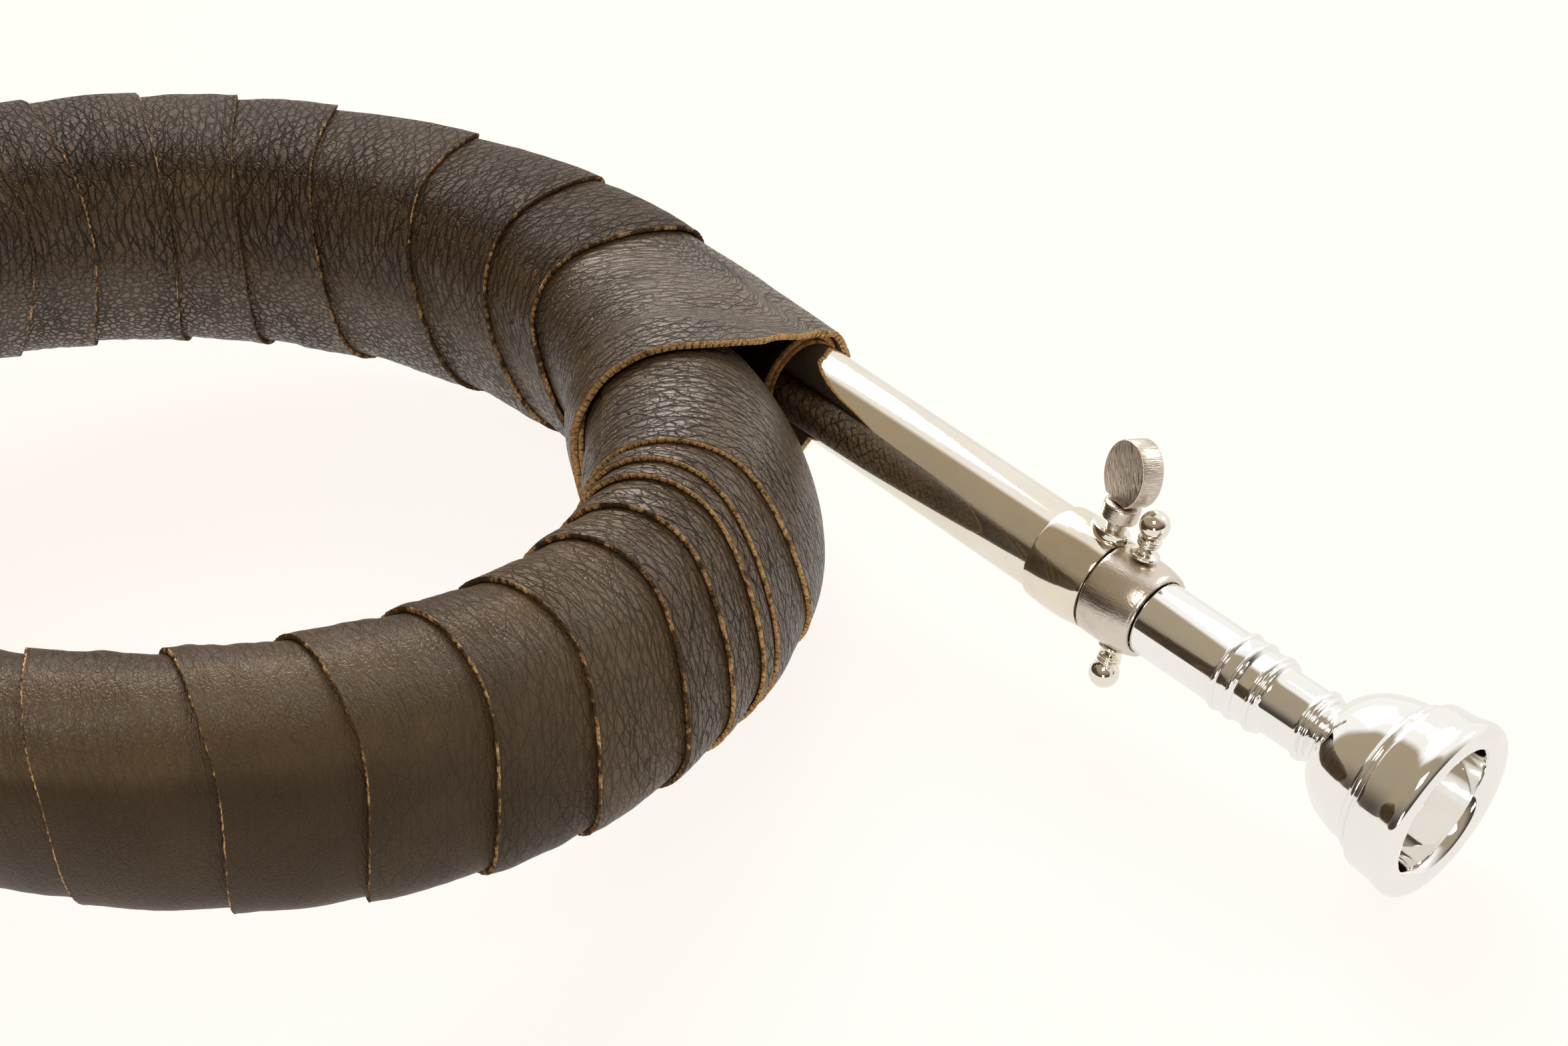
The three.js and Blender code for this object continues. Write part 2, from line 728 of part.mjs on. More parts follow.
// Section through a straight tube that leaves the ring at an angle and may widen as it goes
function slantedEllipse(lane, away, radiusAt, slope) {
  const base = ringRadius + bundleShift + lane.centre.x;
  const edge = (side) => {
    let reach = base / Math.cos(away);
    for (let k = 0; k < 6; k += 1) {
      reach = (base + side * radiusAt(reach * Math.sin(away))) / Math.cos(away);
    }
    return reach;
  };
  const middle = (edge(1) + edge(-1)) / 2;
  const along = middle * Math.sin(away);
  return {
    x: middle - ringRadius - bundleShift,
    y: lane.centre.y + along * slope,
    wide: (edge(1) - edge(-1)) / 2,
    high: radiusAt(along),
  };
}

const coveredLanes = (angle, cover) => lanesAt(angle).map((lane) => roundEllipse(lane, cover));

// The leather stands off the tubes at the fork, where the mouthpipe parts from the coil
function forkPad(angle) {
  const rising = smooth(angle, forkPadStart, forkPadFull);
  return forkPadding * rising * (1 - smooth(angle, forkPadFade, nearTuckLimit));
}

const nearEllipses = (angle) => coveredLanes(angle, forkPad(angle));

const stripRise = (leatherThickness + layerGap) * (1 + overlapShare);
const nearCover = leatherSeat + stripRise + leatherThickness + fit;

// The far strip starts just short of the bell ferrule
const farBellEnd = bellFlareStart - bellFerruleLength / 2 - farBellGap;
const farOutside = ringRadius + bundleShift + bellLane.centre.x + bellRadius(farBellEnd) + nearCover;
const farTuckLimit = bellAngle + Math.atan2(farBellEnd, farOutside);
const farFirstEdge = farTuckLimit - farStartWidth;

function farEllipses(angle) {
  const beforeJoin = mouthpipeAngle - angle;
  const pastBell = angle - bellAngle;
  if (beforeJoin <= 0 && pastBell <= 0) return coveredLanes(angle, 0);
  if (beforeJoin > 0) {
    const share = 1 - smooth(angle, nearTuckLimit, nearTuckLimit + coverRamp);
    const cover = (nearCover + forkPad(angle)) * share;
    const collar = (fit + leatherThickness) * share;
    const joining = lanesAt(mouthpipeAngle)[0];
    const radius = outerTubeRadius + laneGap + collar;
    const mouthpipe = slantedEllipse(joining, beforeJoin, () => radius, -Math.tan(mouthpipeDrop));
    return [...coveredLanes(angle, cover), mouthpipe];
  }
  const nearStripEnd = turn + nearEdgeAngle(nearLoops);
  const cover = nearCover * smooth(angle, nearStripEnd - coverRamp, nearStripEnd);
  const tailRadius = (along) => Math.max(bellRadius(along) + fit, bellLane.radius);
  const tail = slantedEllipse(bellLane, pastBell, tailRadius, 0);
  return [...coveredLanes(angle, cover), tail];
}

// Point of the outline where its outward normal has the angle around, lifted by a distance
function outlinePoint(ellipses, around, lift) {
  const nx = Math.cos(around);
  const ny = Math.sin(around);
  const supports = ellipses.map((e) => {
    const size = Math.hypot(e.wide * nx, e.high * ny);
    return {
      reach: e.x * nx + e.y * ny + size,
      slide: -e.x * ny + e.y * nx + ((e.high ** 2 - e.wide ** 2) * nx * ny) / size,
    };
  });
  const most = Math.max(...supports.map((s) => s.reach));
  const weights = supports.map((s) => Math.exp(softness * (s.reach - most)));
  const total = weights.reduce((sum, weight) => sum + weight, 0);
  const reach = most + Math.log(total) / softness + lift;
  const slide = supports.reduce((sum, s, k) => sum + (s.slide * weights[k]) / total, 0);
  return new THREE.Vector2(reach * nx - slide * ny, reach * ny + slide * nx);
}

// Smooth course through evenly spaced values
function alongList(values, at) {
  const last = values.length - 1;
  const k = clamp(Math.floor(at), 0, last - 1);
  const t = at - k;
  const [before, from, to, after] = [k - 1, k, k + 1, k + 2].map((i) => values[clamp(i, 0, last)]);
  const bend = 2 * before - 5 * from + 4 * to - after;
  const twist = 3 * (from - to) + after - before;
  return from + (t * (to - before + t * (bend + t * twist))) / 2;
}

// Angle of the near strip's covering edge after some loops, wound clockwise from the fork.
// The last loops close up again so that the strip ends under the start of the far one.
function nearEdgeAngle(loops) {
  const plainLoops = nearLoops - nearTailLoops;
  const shown = nearEdges.length - 1;
  if (loops > plainLoops) {
    const end = farTuckLimit - nearEndCover - turn;
    return lerp(nearEdgeAngle(plainLoops), end, (loops - plainLoops) / nearTailLoops);
  }
  if (loops > shown) return (nearEdges[shown] - nearPlainPitch * (loops - shown)) * degree;
  return alongList(nearEdges, loops) * degree;
}

function farEdgeAngle(loops) {
  if (loops <= farEdges.length) return alongList([farFirstEdge / degree, ...farEdges], loops) * degree;
  const next = forkEdge.findIndex(([at]) => at >= loops);
  if (next < 0) return forkEdge.at(-1)[1] * degree;
  const [from, fromAngle] = forkEdge[next - 1];
  const [to, toAngle] = forkEdge[next];
  return lerp(fromAngle, toAngle, smooth(loops, from, to)) * degree;
}

// Angle of the hidden edge, which lies under the loop before it
function tuckAngle(strip, loops) {
  if (loops < 1 + strip.startLoops) return strip.tuckLimit;
  const covered = strip.edgeAt(loops - 1);
  const above = tuckAngle(strip, loops - 1) - covered;
  const own = covered - strip.edgeAt(loops);
  return covered + overlapShare * Math.min(own, above / (1 + overlapShare));
}

// Rows of section points for a strip wound round the ring, shifted in by a distance
function stripRows(strip, inset = 0) {
  const rows = [];
  const first = Math.round(strip.startLoops * loopSteps);
  const last = Math.round(strip.loops * loopSteps);
  for (let k = first; k <= last; k += 1) {
    const loops = k / loopSteps;
    const around = windStart + loops * turn;
    const edge = strip.edgeAt(loops);
    const tuck = tuckAngle(strip, loops);
    const rise = stripRise * strip.riseShareAt(loops);
    const outer = [];
    const inner = [];
    for (const share of strip.shares) {
      const angle = lerp(edge, tuck, share);
      const ellipses = strip.ellipsesAt(angle);
      const lift = leatherSeat + rise * (1 - share) - inset;
      const low = outlinePoint(ellipses, around, lift);
      const high = outlinePoint(ellipses, around, lift + leatherThickness);
      inner.push(ringPoint(angle, low.x, low.y));
      outer.push(ringPoint(angle, high.x, high.y));
    }
    rows.push([...outer, ...inner.reverse()]);
  }
  return rows;
}

// The covering edge of a loop rises over the next loop, and lies low where no loop follows
const farEnd = forkEdge.at(-1)[0];
const farRiseShare = (loops) => 1 - smooth(loops, farEnd - 1, farEnd - 0.7);

const nearStrip = {
  name: "near_leather_strip",
  startLoops: nearStartLoops,
  loops: nearLoops,
  shares: [0, 0.25, 0.6, 1],
  edgeAt: nearEdgeAngle,
  tuckLimit: nearTuckLimit,
  ellipsesAt: nearEllipses,
  riseShareAt: () => 1,
};
const farStrip = {
  name: "far_leather_strip",
  startLoops: 0,
  loops: farEnd,
  shares: [0, 0.22, 0.68, 1],
  edgeAt: farEdgeAngle,
  tuckLimit: farTuckLimit,
  ellipsesAt: farEllipses,
  riseShareAt: farRiseShare,
};

// Least distance between one loop and the next, on points along the facing surfaces
function leastSelfGap(rows) {
  const samples = 8;
  const line = (points) => {
    const spread = [];
    for (let k = 0; k < points.length - 1; k += 1) {
      for (let step = 0; step < samples; step += 1) {
        spread.push(points[k].clone().lerp(points[k + 1], step / samples));
      }
    }
    return spread;
  };
  const half = rows[0].length / 2;
  let least = Infinity;
  for (let k = loopSteps; k < rows.length; k += 1) {
    const under = line(rows[k].slice(0, half));
    const over = line(rows[k - loopSteps].slice(half));
    for (const a of under) for (const b of over) least = Math.min(least, a.distanceTo(b));
  }
  return least;
}

function makeLeather() {
  for (const strip of [nearStrip, farStrip]) {
    const rows = stripRows(strip);
    strip.rows = rows;
    strip.mesh = addPiece(coilGroup, strip.name, "leather", skinGeometry(rows, "strip"));
    console.log(`${strip.name}: least gap between loops ${leastSelfGap(rows).toFixed(2)} mm`);
  }
}

// Weight and balance point of a closed geometry
function balance(geometry, matrix) {
  const place = geometry.attributes.position;
  const corner = [0, 1, 2].map(() => new THREE.Vector3());
  const moment = new THREE.Vector3();
  let volume = 0;
  for (let i = 0; i < geometry.index.count; i += 3) {
    corner.forEach((c, k) => c.fromBufferAttribute(place, geometry.index.getX(i + k)).applyMatrix4(matrix));
    const part = corner[0].dot(corner[1].clone().cross(corner[2])) / 6;
    volume += part;
    for (const c of corner) moment.addScaledVector(c, part / 4);
  }
  return { volume, moment };
}

// Finds the three points that the horn stands on, and tips it over until they lie on the floor
function settle() {
  horn.updateMatrixWorld(true);
  const points = [];
  const weighed = new THREE.Vector3();
  let weight = 0;
  const corner = new THREE.Vector3();
  for (const { mesh, finish } of pieces) {
    const { volume, moment } = balance(mesh.geometry, mesh.matrixWorld);
    weighed.addScaledVector(moment, density[finish]);
    weight += volume * density[finish];
    if (finish === "leather") continue;
    const place = mesh.geometry.attributes.position;
    for (let k = 0; k < place.count; k += 1) {
      points.push(corner.fromBufferAttribute(place, k).applyMatrix4(mesh.matrixWorld).clone());
    }
  }
  for (const strip of [nearStrip, farStrip]) points.push(...stripRows(strip, restCut).flat());
  const middle = weighed.divideScalar(weight);
  const hull = new ConvexHull().setFromPoints(points);
  let best = null;
  for (const face of hull.faces) {
    const below = middle.clone().addScaledVector(face.normal, -face.distanceToPoint(middle));
    let inside = true;
    let edge = face.edge;
    do {
      const from = edge.tail().point;
      const to = edge.head().point;
      const turnSign = to.clone().sub(from).cross(below.clone().sub(from)).dot(face.normal);
      if (turnSign < 0) inside = false;
      edge = edge.next;
    } while (edge !== face.edge);
    if (inside && (!best || face.normal.z < best.normal.z)) best = face;
  }
  const tip = new THREE.Quaternion().setFromUnitVectors(best.normal, ringUp.clone().negate());
  const tippedBell = bellAxis.clone().applyQuaternion(tip);
  const heading = Math.PI - Math.atan2(tippedBell.y, tippedBell.x);
  const swing = new THREE.Quaternion().setFromAxisAngle(ringUp, heading);
  horn.quaternion.copy(swing).multiply(tip);
  horn.updateMatrixWorld(true);
  const floor = best.edge.head().point.clone().applyMatrix4(horn.matrixWorld).z;
  const box = new THREE.Box3().setFromObject(horn, true);
  horn.position.set(-(box.min.x + box.max.x) / 2, -(box.min.y + box.max.y) / 2, -floor);
  horn.updateMatrixWorld(true);
}

// The leather is pressed flat where the horn lies on it
function pressLeatherFlat() {
  const floorBlock = new THREE.BoxGeometry(floorSpan, floorSpan, floorDepth);
  floorBlock.translate(0, 0, -floorDepth / 2);
  floorBlock.applyMatrix4(horn.matrixWorld.clone().invert());
  for (const { mesh } of [nearStrip, farStrip]) mesh.geometry = cutAway(mesh.geometry, floorBlock);
}

makeCoilTubes();
makeBraces();
makeBell();
placePipeGroup();
makeSlide();
makeThumbScrew();
makePosts();
makeMouthpiece();
makeLeatherCollar();
makeLeather();
settle();
pressLeatherFlat();

export default horn;
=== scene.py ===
import math

import bpy
from mathutils import Matrix, Vector, noise


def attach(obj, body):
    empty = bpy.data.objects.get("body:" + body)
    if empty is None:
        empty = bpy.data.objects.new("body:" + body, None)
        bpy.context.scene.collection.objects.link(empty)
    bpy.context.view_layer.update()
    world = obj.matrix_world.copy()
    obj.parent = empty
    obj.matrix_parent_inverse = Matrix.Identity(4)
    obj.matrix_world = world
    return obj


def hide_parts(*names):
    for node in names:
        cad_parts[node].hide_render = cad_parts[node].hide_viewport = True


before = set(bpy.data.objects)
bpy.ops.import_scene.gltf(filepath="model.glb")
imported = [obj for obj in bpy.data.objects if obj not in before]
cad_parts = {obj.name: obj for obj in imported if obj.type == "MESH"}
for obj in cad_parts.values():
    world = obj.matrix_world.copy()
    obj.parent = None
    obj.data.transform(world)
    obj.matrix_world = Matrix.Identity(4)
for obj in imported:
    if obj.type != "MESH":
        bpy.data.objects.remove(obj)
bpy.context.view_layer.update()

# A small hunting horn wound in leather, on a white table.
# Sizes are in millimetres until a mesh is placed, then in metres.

MM = 0.001
TURN = 2 * math.pi
DEGREE = math.pi / 180
SMOOTH_ANGLE = 32 * DEGREE

# The coil lies tipped on the table: this takes a point of the flat ring to its place there
RING = Matrix((
    (0.753583226, 0.635582193, 0.167772460, 35.354479810),
    (-0.642716814, 0.765960072, -0.014841365, 4.773687511),
    (-0.137939913, -0.096645977, 0.985714023, 38.764871183),
    (0, 0, 0, 1),
))

PIPE_START = Vector((117.5704, 16.2759, 30.5267))
PIPE_AXIS = Vector((0.121775, -0.986259, -0.111642))
SCREW_AXIS = Vector((0.303353, -0.070115, 0.950295))
BELL_START = Vector((33.7443, 82.4295, 29.3047))
BELL_AXIS = Vector((-0.985823, 0, 0.167791))

# Coil
RING_RADIUS = 76.2
MOUTHPIPE_ANGLE = 48 * DEGREE
BELL_ANGLE = 130 * DEGREE
WHOLE_TURNS = 2
BUNDLE_TILT = 38 * DEGREE
LANE_GAP = 0.4
LANE_ROOM = 0.8
COIL_START = 5.7
COIL_END = 9.2
COIL_SPREAD = 1.15
SECOND_JOINT = 520.3 * DEGREE
FAR_ARC = BELL_ANGLE - MOUTHPIPE_ANGLE
COIL_ARC = WHOLE_TURNS * TURN + FAR_ARC

# Mouthpipe
MOUTHPIPE_DROP = 4.3 * DEGREE
OUTER_TUBE = 6.55
SLIDE_TUBE = 5.75
TUBE_WALL = 0.5
GAP = 0.3
SCREW_PLACE = 98.6
HEAD_TURN = -17 * DEGREE
HATCH = -35 * DEGREE

# Bell
BELL_LENGTH = 172
BELL_MOUTH = 58
BELL_GROWTH = 0.8
BELL_OPENING = 20.4
BELL_WALL = 0.7
FLARE_START = 108
FLARE_GAP = 0.15
BAND_WIDTH = 17
RIM_WIRE = 1.6

# Leather
LEATHER = 0.65
END_LEATHER = 1.0
SEAT = 1.3
PLY_RISE = 0.98
NEAR_TOP = SEAT + PLY_RISE + LEATHER
OVERLAP = 0.3
SOFTNESS = 0.6
WIND_START = 100 * DEGREE
COVER_RAMP = 18 * DEGREE
FORK_PAD = 2.9
FORK_PAD_START = -25 * DEGREE
FORK_PAD_FULL = 6 * DEGREE
FORK_PAD_FADE = 14 * DEGREE
NEAR_START = 0.125
NEAR_LOOPS = 19
NEAR_TAIL_LOOPS = 3
NEAR_TAIL = 0.32
NEAR_TUCK = 22 * DEGREE
NEAR_END_COVER = 5.25 * DEGREE
FAR_START_WIDTH = 7 * DEGREE
FAR_START_ALONG = 100
TOOTH = 1.05
TABLE_ROOM = 0.02
GIRTH = 112
STRIP_WIDTH = 17
FACE_COLUMNS = 26
SHOWN_SHARE = 0.86
SHARP_STEP = 0.12
SHARP_LOOPS = (10.89, 10.97)
EDGE_BLUR = 0.0015
NEAR_COVER = NEAR_TOP + 0.35
FORK_COVER = 2.15
PIPE_HUG = 0.2
FAR_START_LIFT = 3.808

# Covering edges on top of the ring, loop by loop, in degrees
NEAR_EDGES = (12, -10.3, -13.8, -17.3, -23.7, -31.5, -43.5, -53.5, -65.5, -77, -89.5)
NEAR_PITCH = 12.4
FAR_EDGES = (152, 139, 127, 118, 106, 95.5, 84.5, 68.5, 53.5, 41)

# The far strip's last loop runs out round the mouthpipe: loops wound so far and the edge's angle
FORK_EDGE = (
    (10, 41), (10.1, 40.6), (10.2, 39.2), (10.35, 33.5), (10.5, 27.0), (10.6, 24.2), (10.68, 23.8),
    (10.78, 23.9), (10.86, 23.4), (10.89, 22.6), (10.906, 21.7), (10.911, 21.2), (10.917, 20.8),
    (10.92, 20.2), (10.9225, 18.6), (10.925, 15.7), (10.928, 14.0), (10.931, 13.0), (10.934, 12.2),
    (10.939, 11.0), (10.944, 10.05), (10.95, 9.4), (10.956, 9.05), (10.967, 8.7), (11, 8.2), (11.067, 7.5),
    (11.11, 7.25), (11.16, 6.6), (11.27, 9), (11.4, 13), (11.55, 17),
)
FAR_END = FORK_EDGE[-1][0]


def lerp(low, high, share):
    return low + (high - low) * share


def smooth(value, low, high):
    share = min(max((value - low) / (high - low), 0), 1)
    return share * share * (3 - 2 * share)


# The coil's course

def tube_radius(along):
    share = min(max(along / COIL_ARC, 0), 1) ** COIL_SPREAD
    return lerp(COIL_START, COIL_END, share)


def lane_radius(along):
    return max(OUTER_TUBE + LANE_GAP, tube_radius(along) + LANE_ROOM)


def stacked_lanes(radii):
    """Centres of three touching lanes, as (outward, up)"""
    first, second, third = radii
    across = first + second + LANE_GAP
    to_third = first + third + LANE_GAP
    between = second + third + LANE_GAP
    x = (to_third ** 2 - between ** 2 + across ** 2) / (2 * across)
    y = math.sqrt(to_third ** 2 - x ** 2)
    middle = complex((across + x) / 3, y / 3)
    centres = [complex(0, 0) - middle, complex(across, 0) - middle, complex(x, y) - middle]
    spin = BUNDLE_TILT - math.atan2(centres[0].imag, centres[0].real)
    return [centre * complex(math.cos(spin), math.sin(spin)) for centre in centres]


def lanes_at(angle):
    """Lanes at one angle of the ring, as (outward, up, radius)"""
    along = (angle - MOUTHPIPE_ANGLE) % TURN
    if along <= FAR_ARC:
        radii = [lane_radius(along + turns * TURN) for turns in range(3)]
        return [(c.real, c.imag, r) for c, r in zip(stacked_lanes(radii), radii)]
    leaving = stacked_lanes([lane_radius(FAR_ARC + turns * TURN) for turns in range(3)])
    joining = stacked_lanes([lane_radius(turns * TURN) for turns in range(3)])
    share = smooth((along - FAR_ARC) / (TURN - FAR_ARC), 0, 1)
    start = leaving[0] - leaving[1]
    end = joining[1] - joining[2]
    start_axis = math.atan2(start.imag, start.real) % TURN
    end_axis = math.atan2(end.imag, end.real) % TURN
    if end_axis < start_axis:
        end_axis += TURN
    axis = lerp(start_axis, end_axis, share)
    middle = lerp((leaving[0] + leaving[1]) / 2, (joining[1] + joining[2]) / 2, share)
    radii = (lane_radius(along), lane_radius(along + TURN))
    aside = complex(math.cos(axis), math.sin(axis)) * (sum(radii) + LANE_GAP) / 2
    return [
        ((middle + aside).real, (middle + aside).imag, radii[0]),
        ((middle - aside).real, (middle - aside).imag, radii[1]),
    ]


def ring_point(angle, outward, up):
    reach = RING_RADIUS + outward
    return Vector((reach * math.cos(angle), reach * math.sin(angle), up))


def bell_radius(along):
    left = (BELL_LENGTH + BELL_OPENING - along) / BELL_OPENING
    return BELL_MOUTH * left ** -BELL_GROWTH


# The outline that the leather is drawn tight round

def slanted_ellipse(lane, away, radius_at, slope):
    base = RING_RADIUS + lane[0]

    def edge(side):
        reach = base / math.cos(away)
        for _ in range(6):
            reach = (base + side * radius_at(reach * math.sin(away))) / math.cos(away)
        return reach

    outer = edge(1)
    inner = edge(-1)
    middle = (outer + inner) / 2
    along = middle * math.sin(away)
    return (middle - RING_RADIUS, lane[1] + along * slope, (outer - inner) / 2, radius_at(along))


def covered_lanes(angle, cover):
    return [(x, y, radius + cover, radius + cover) for x, y, radius in lanes_at(angle)]


def fork_pad(angle):
    """The leather stands off the tubes at the fork, where the mouthpipe parts from the coil"""
    rising = smooth(angle, FORK_PAD_START, FORK_PAD_FULL)
    return FORK_PAD * rising * (1 - smooth(angle, FORK_PAD_FADE, NEAR_TUCK))


def near_ellipses(angle):
    return covered_lanes(angle, fork_pad(angle))


BELL_LANE = lanes_at(BELL_ANGLE)[WHOLE_TURNS]
JOINING_LANE = lanes_at(MOUTHPIPE_ANGLE)[0]
FAR_OUTSIDE = RING_RADIUS + BELL_LANE[0] + bell_radius(FAR_START_ALONG) + FAR_START_LIFT
FAR_TUCK = BELL_ANGLE + math.atan2(FAR_START_ALONG, FAR_OUTSIDE)


def far_ellipses(angle):
    before_join = MOUTHPIPE_ANGLE - angle
    past_bell = angle - BELL_ANGLE
    if before_join <= 0 and past_bell <= 0:
        return covered_lanes(angle, 0)
    if before_join > 0:
        share = 1 - smooth(angle, NEAR_TUCK, NEAR_TUCK + COVER_RAMP)
        cover = (FORK_COVER + fork_pad(angle)) * share
        radius = OUTER_TUBE + LANE_GAP - PIPE_HUG * share
        pipe = slanted_ellipse(JOINING_LANE, before_join, lambda _: radius, -math.tan(MOUTHPIPE_DROP))
        return [*covered_lanes(angle, cover), pipe]
    near_end = TURN + near_edge(NEAR_LOOPS)
    cover = NEAR_COVER * smooth(angle, near_end - COVER_RAMP, near_end)
    tail = slanted_ellipse(
        BELL_LANE, past_bell, lambda along: max(bell_radius(along) + GAP, BELL_LANE[2]), 0)
    return [*covered_lanes(angle, cover), tail]


def outline(ellipses, around, lift):
    """Point of the outline where its outward normal has the angle around, as (outward, up)"""
    nx = math.cos(around)
    ny = math.sin(around)
    supports = []
    for x, y, wide, high in ellipses:
        size = math.hypot(wide * nx, high * ny)
        slide = -x * ny + y * nx + (high ** 2 - wide ** 2) * nx * ny / size
        supports.append((x * nx + y * ny + size, slide))
    most = max(reach for reach, _ in supports)
    weights = [math.exp(SOFTNESS * (reach - most)) for reach, _ in supports]
    total = sum(weights)
    reach = most + math.log(total) / SOFTNESS + lift
    slide = sum(slide * weight for (_, slide), weight in zip(supports, weights)) / total
    return reach * nx - slide * ny, reach * ny + slide * nx


def along_list(values, at):
    """Smooth course through evenly spaced values or points"""
    last = len(values) - 1
    k = min(max(int(at), 0), last - 1)
    t = at - k
    before, start, end, after = (values[min(max(i, 0), last)] for i in range(k - 1, k + 3))
    bend = 2 * before - 5 * start + 4 * end - after
    twist = 3 * (start - end) + after - before
    return start + t * (end - before + t * (bend + t * twist)) / 2


def near_edge(loops):
    """Angle of the near strip's covering edge after some loops"""
    plain = NEAR_LOOPS - NEAR_TAIL_LOOPS
    shown = len(NEAR_EDGES) - 1
    if loops > plain:
        end = FAR_TUCK - NEAR_END_COVER - TURN
        return lerp(near_edge(plain), end, (loops - plain) / NEAR_TAIL_LOOPS)
    if loops > shown:
        return (NEAR_EDGES[shown] - NEAR_PITCH * (loops - shown)) * DEGREE
    return along_list(NEAR_EDGES, loops) * DEGREE


def fork_angle(loops):
    for (start, low), (end, high) in zip(FORK_EDGE, FORK_EDGE[1:]):
        if loops <= end:
            return lerp(low, high, (loops - start) / (end - start))
    return FORK_EDGE[-1][1]


def far_edge(loops):
    """Angle of the far strip's covering edge, whose last loop runs out round the mouthpipe"""
    if loops <= len(FAR_EDGES):
        return along_list(((FAR_TUCK - FAR_START_WIDTH) / DEGREE, *FAR_EDGES), loops) * DEGREE
    return sum(fork_angle(loops + shift) for shift in (-EDGE_BLUR, 0, EDGE_BLUR)) / 3 * DEGREE


def tucked_edge(edge_at, limit, first, loops):
    """Angle of the edge that lies hidden under the loop before"""
    if loops < 1 + first:
        return limit
    covered = edge_at(loops - 1)
    above = tucked_edge(edge_at, limit, first, loops - 1) - covered
    return covered + OVERLAP * min(covered - edge_at(loops), above / (1 + OVERLAP))


def far_end_share(loops):
    """Where no loop follows, the covering edge lies low and the leather is thicker"""
    return smooth(loops, FAR_END - 1, FAR_END - 0.7)


# Modelling helpers

def deselect():
    if bpy.context.object and bpy.context.object.mode != "OBJECT":
        bpy.ops.object.mode_set(mode="OBJECT")
    bpy.ops.object.select_all(action="DESELECT")


def activate(piece):
    deselect()
    piece.select_set(True)
    bpy.context.view_layer.objects.active = piece


def new_object(name, data):
    made = bpy.data.objects.new(name, data)
    bpy.context.scene.collection.objects.link(made)
    return made


def edit_all():
    bpy.ops.object.mode_set(mode="EDIT")
    bpy.ops.mesh.select_all(action="SELECT")


def edit_primitive(name):
    """Names the primitive that was just added and opens all of it for editing"""
    piece = bpy.context.active_object
    piece.name = name
    piece.data.name = name
    edit_all()
    return piece


def close_outward():
    """Turns the faces outward and ends the editing"""
    bpy.ops.mesh.normals_make_consistent(inside=False)
    bpy.ops.object.mode_set(mode="OBJECT")


def shade(angle=SMOOTH_ANGLE):
    bpy.ops.object.shade_smooth_by_angle(angle=angle)


def place(piece, matrix):
    """Sets a piece modelled at the origin, in millimetres, in its place in metres"""
    activate(piece)
    piece.matrix_world = Matrix.Scale(MM, 4) @ matrix
    bpy.ops.object.transform_apply(location=True, rotation=True, scale=True)


def local_frame(origin, z_axis, x_axis):
    z = z_axis.normalized()
    x = (x_axis - z * x_axis.dot(z)).normalized()
    y = z.cross(x)
    turned = Matrix((x, y, z)).transposed().to_4x4()
    return Matrix.Translation(origin) @ turned


def round_edges(piece, width, segments=3, angle=25):
    bevel = piece.modifiers.new("round edges", "BEVEL")
    bevel.width = width
    bevel.segments = segments
    bevel.limit_method = "ANGLE"
    bevel.angle_limit = angle * DEGREE
    bevel.use_clamp_overlap = True
    bpy.ops.object.modifier_apply(modifier=bevel.name)


def turned_piece(name, profile, matrix, steps=96, edge=0.08, closed=True):
    """Spins a profile of (radius, along) in millimetres round its axis, as on a lathe"""
    deselect()
    bpy.ops.mesh.primitive_plane_add(size=1)
    piece = edit_primitive(name)
    bpy.ops.mesh.merge(type="CENTER")
    radius, along = profile[0]
    bpy.ops.transform.translate(value=(radius, 0, along))
    ends = profile[1:] + ([profile[0]] if closed else [])
    for next_radius, next_along in ends:
        step = (next_radius - radius, 0, next_along - along)
        bpy.ops.mesh.extrude_vertices_move(TRANSFORM_OT_translate={"value": step})
        radius, along = next_radius, next_along
    bpy.ops.mesh.select_all(action="SELECT")
    bpy.ops.mesh.remove_doubles(threshold=1e-4)
    bpy.ops.mesh.select_all(action="SELECT")
    bpy.ops.mesh.spin(steps=steps, angle=TURN, center=(0, 0, 0), axis=(0, 0, 1))
    bpy.ops.mesh.select_all(action="SELECT")
    bpy.ops.mesh.remove_doubles(threshold=1e-3)
    close_outward()
    if edge:
        round_edges(piece, edge)
    shade()
    place(piece, matrix)
    return piece


def flowing(points, steps=5):
    """A smooth run through profile points"""
    places = [Vector(point) for point in points]
    run = [tuple(along_list(places, k / steps)) for k in range(steps * (len(points) - 1))]
    return [*run, points[-1]]


def arc(centre, radius, start, end, steps=8):
    """Part of a circle in a profile, by angles in degrees"""
    run = []
    for k in range(steps + 1):
        angle = lerp(start, end, k / steps) * DEGREE
        run.append((centre[0] + radius * math.cos(angle), centre[1] + radius * math.sin(angle)))
    return run


# Materials

def feed(tree, socket, value):
    """Sets a socket, or links it to another node's output"""
    if isinstance(value, bpy.types.NodeSocket):
        tree.links.new(value, socket)
    elif socket.type == "RGBA":
        socket.default_value = (*value, 1)
    else:
        socket.default_value = value


def node(tree, kind, inputs=None, **settings):
    made = tree.nodes.new(kind)
    for key, value in settings.items():
        setattr(made, key, value)
    for label, value in (inputs or {}).items():
        feed(tree, made.inputs[label], value)
    return made


def new_material(name):
    material = bpy.data.materials.new(name)
    material.use_nodes = True
    return material, material.node_tree


def finished(material, values):
    """The material with its shader's inputs set"""
    tree = material.node_tree
    for label, value in values.items():
        feed(tree, tree.nodes["Principled BSDF"].inputs[label], value)
    return material


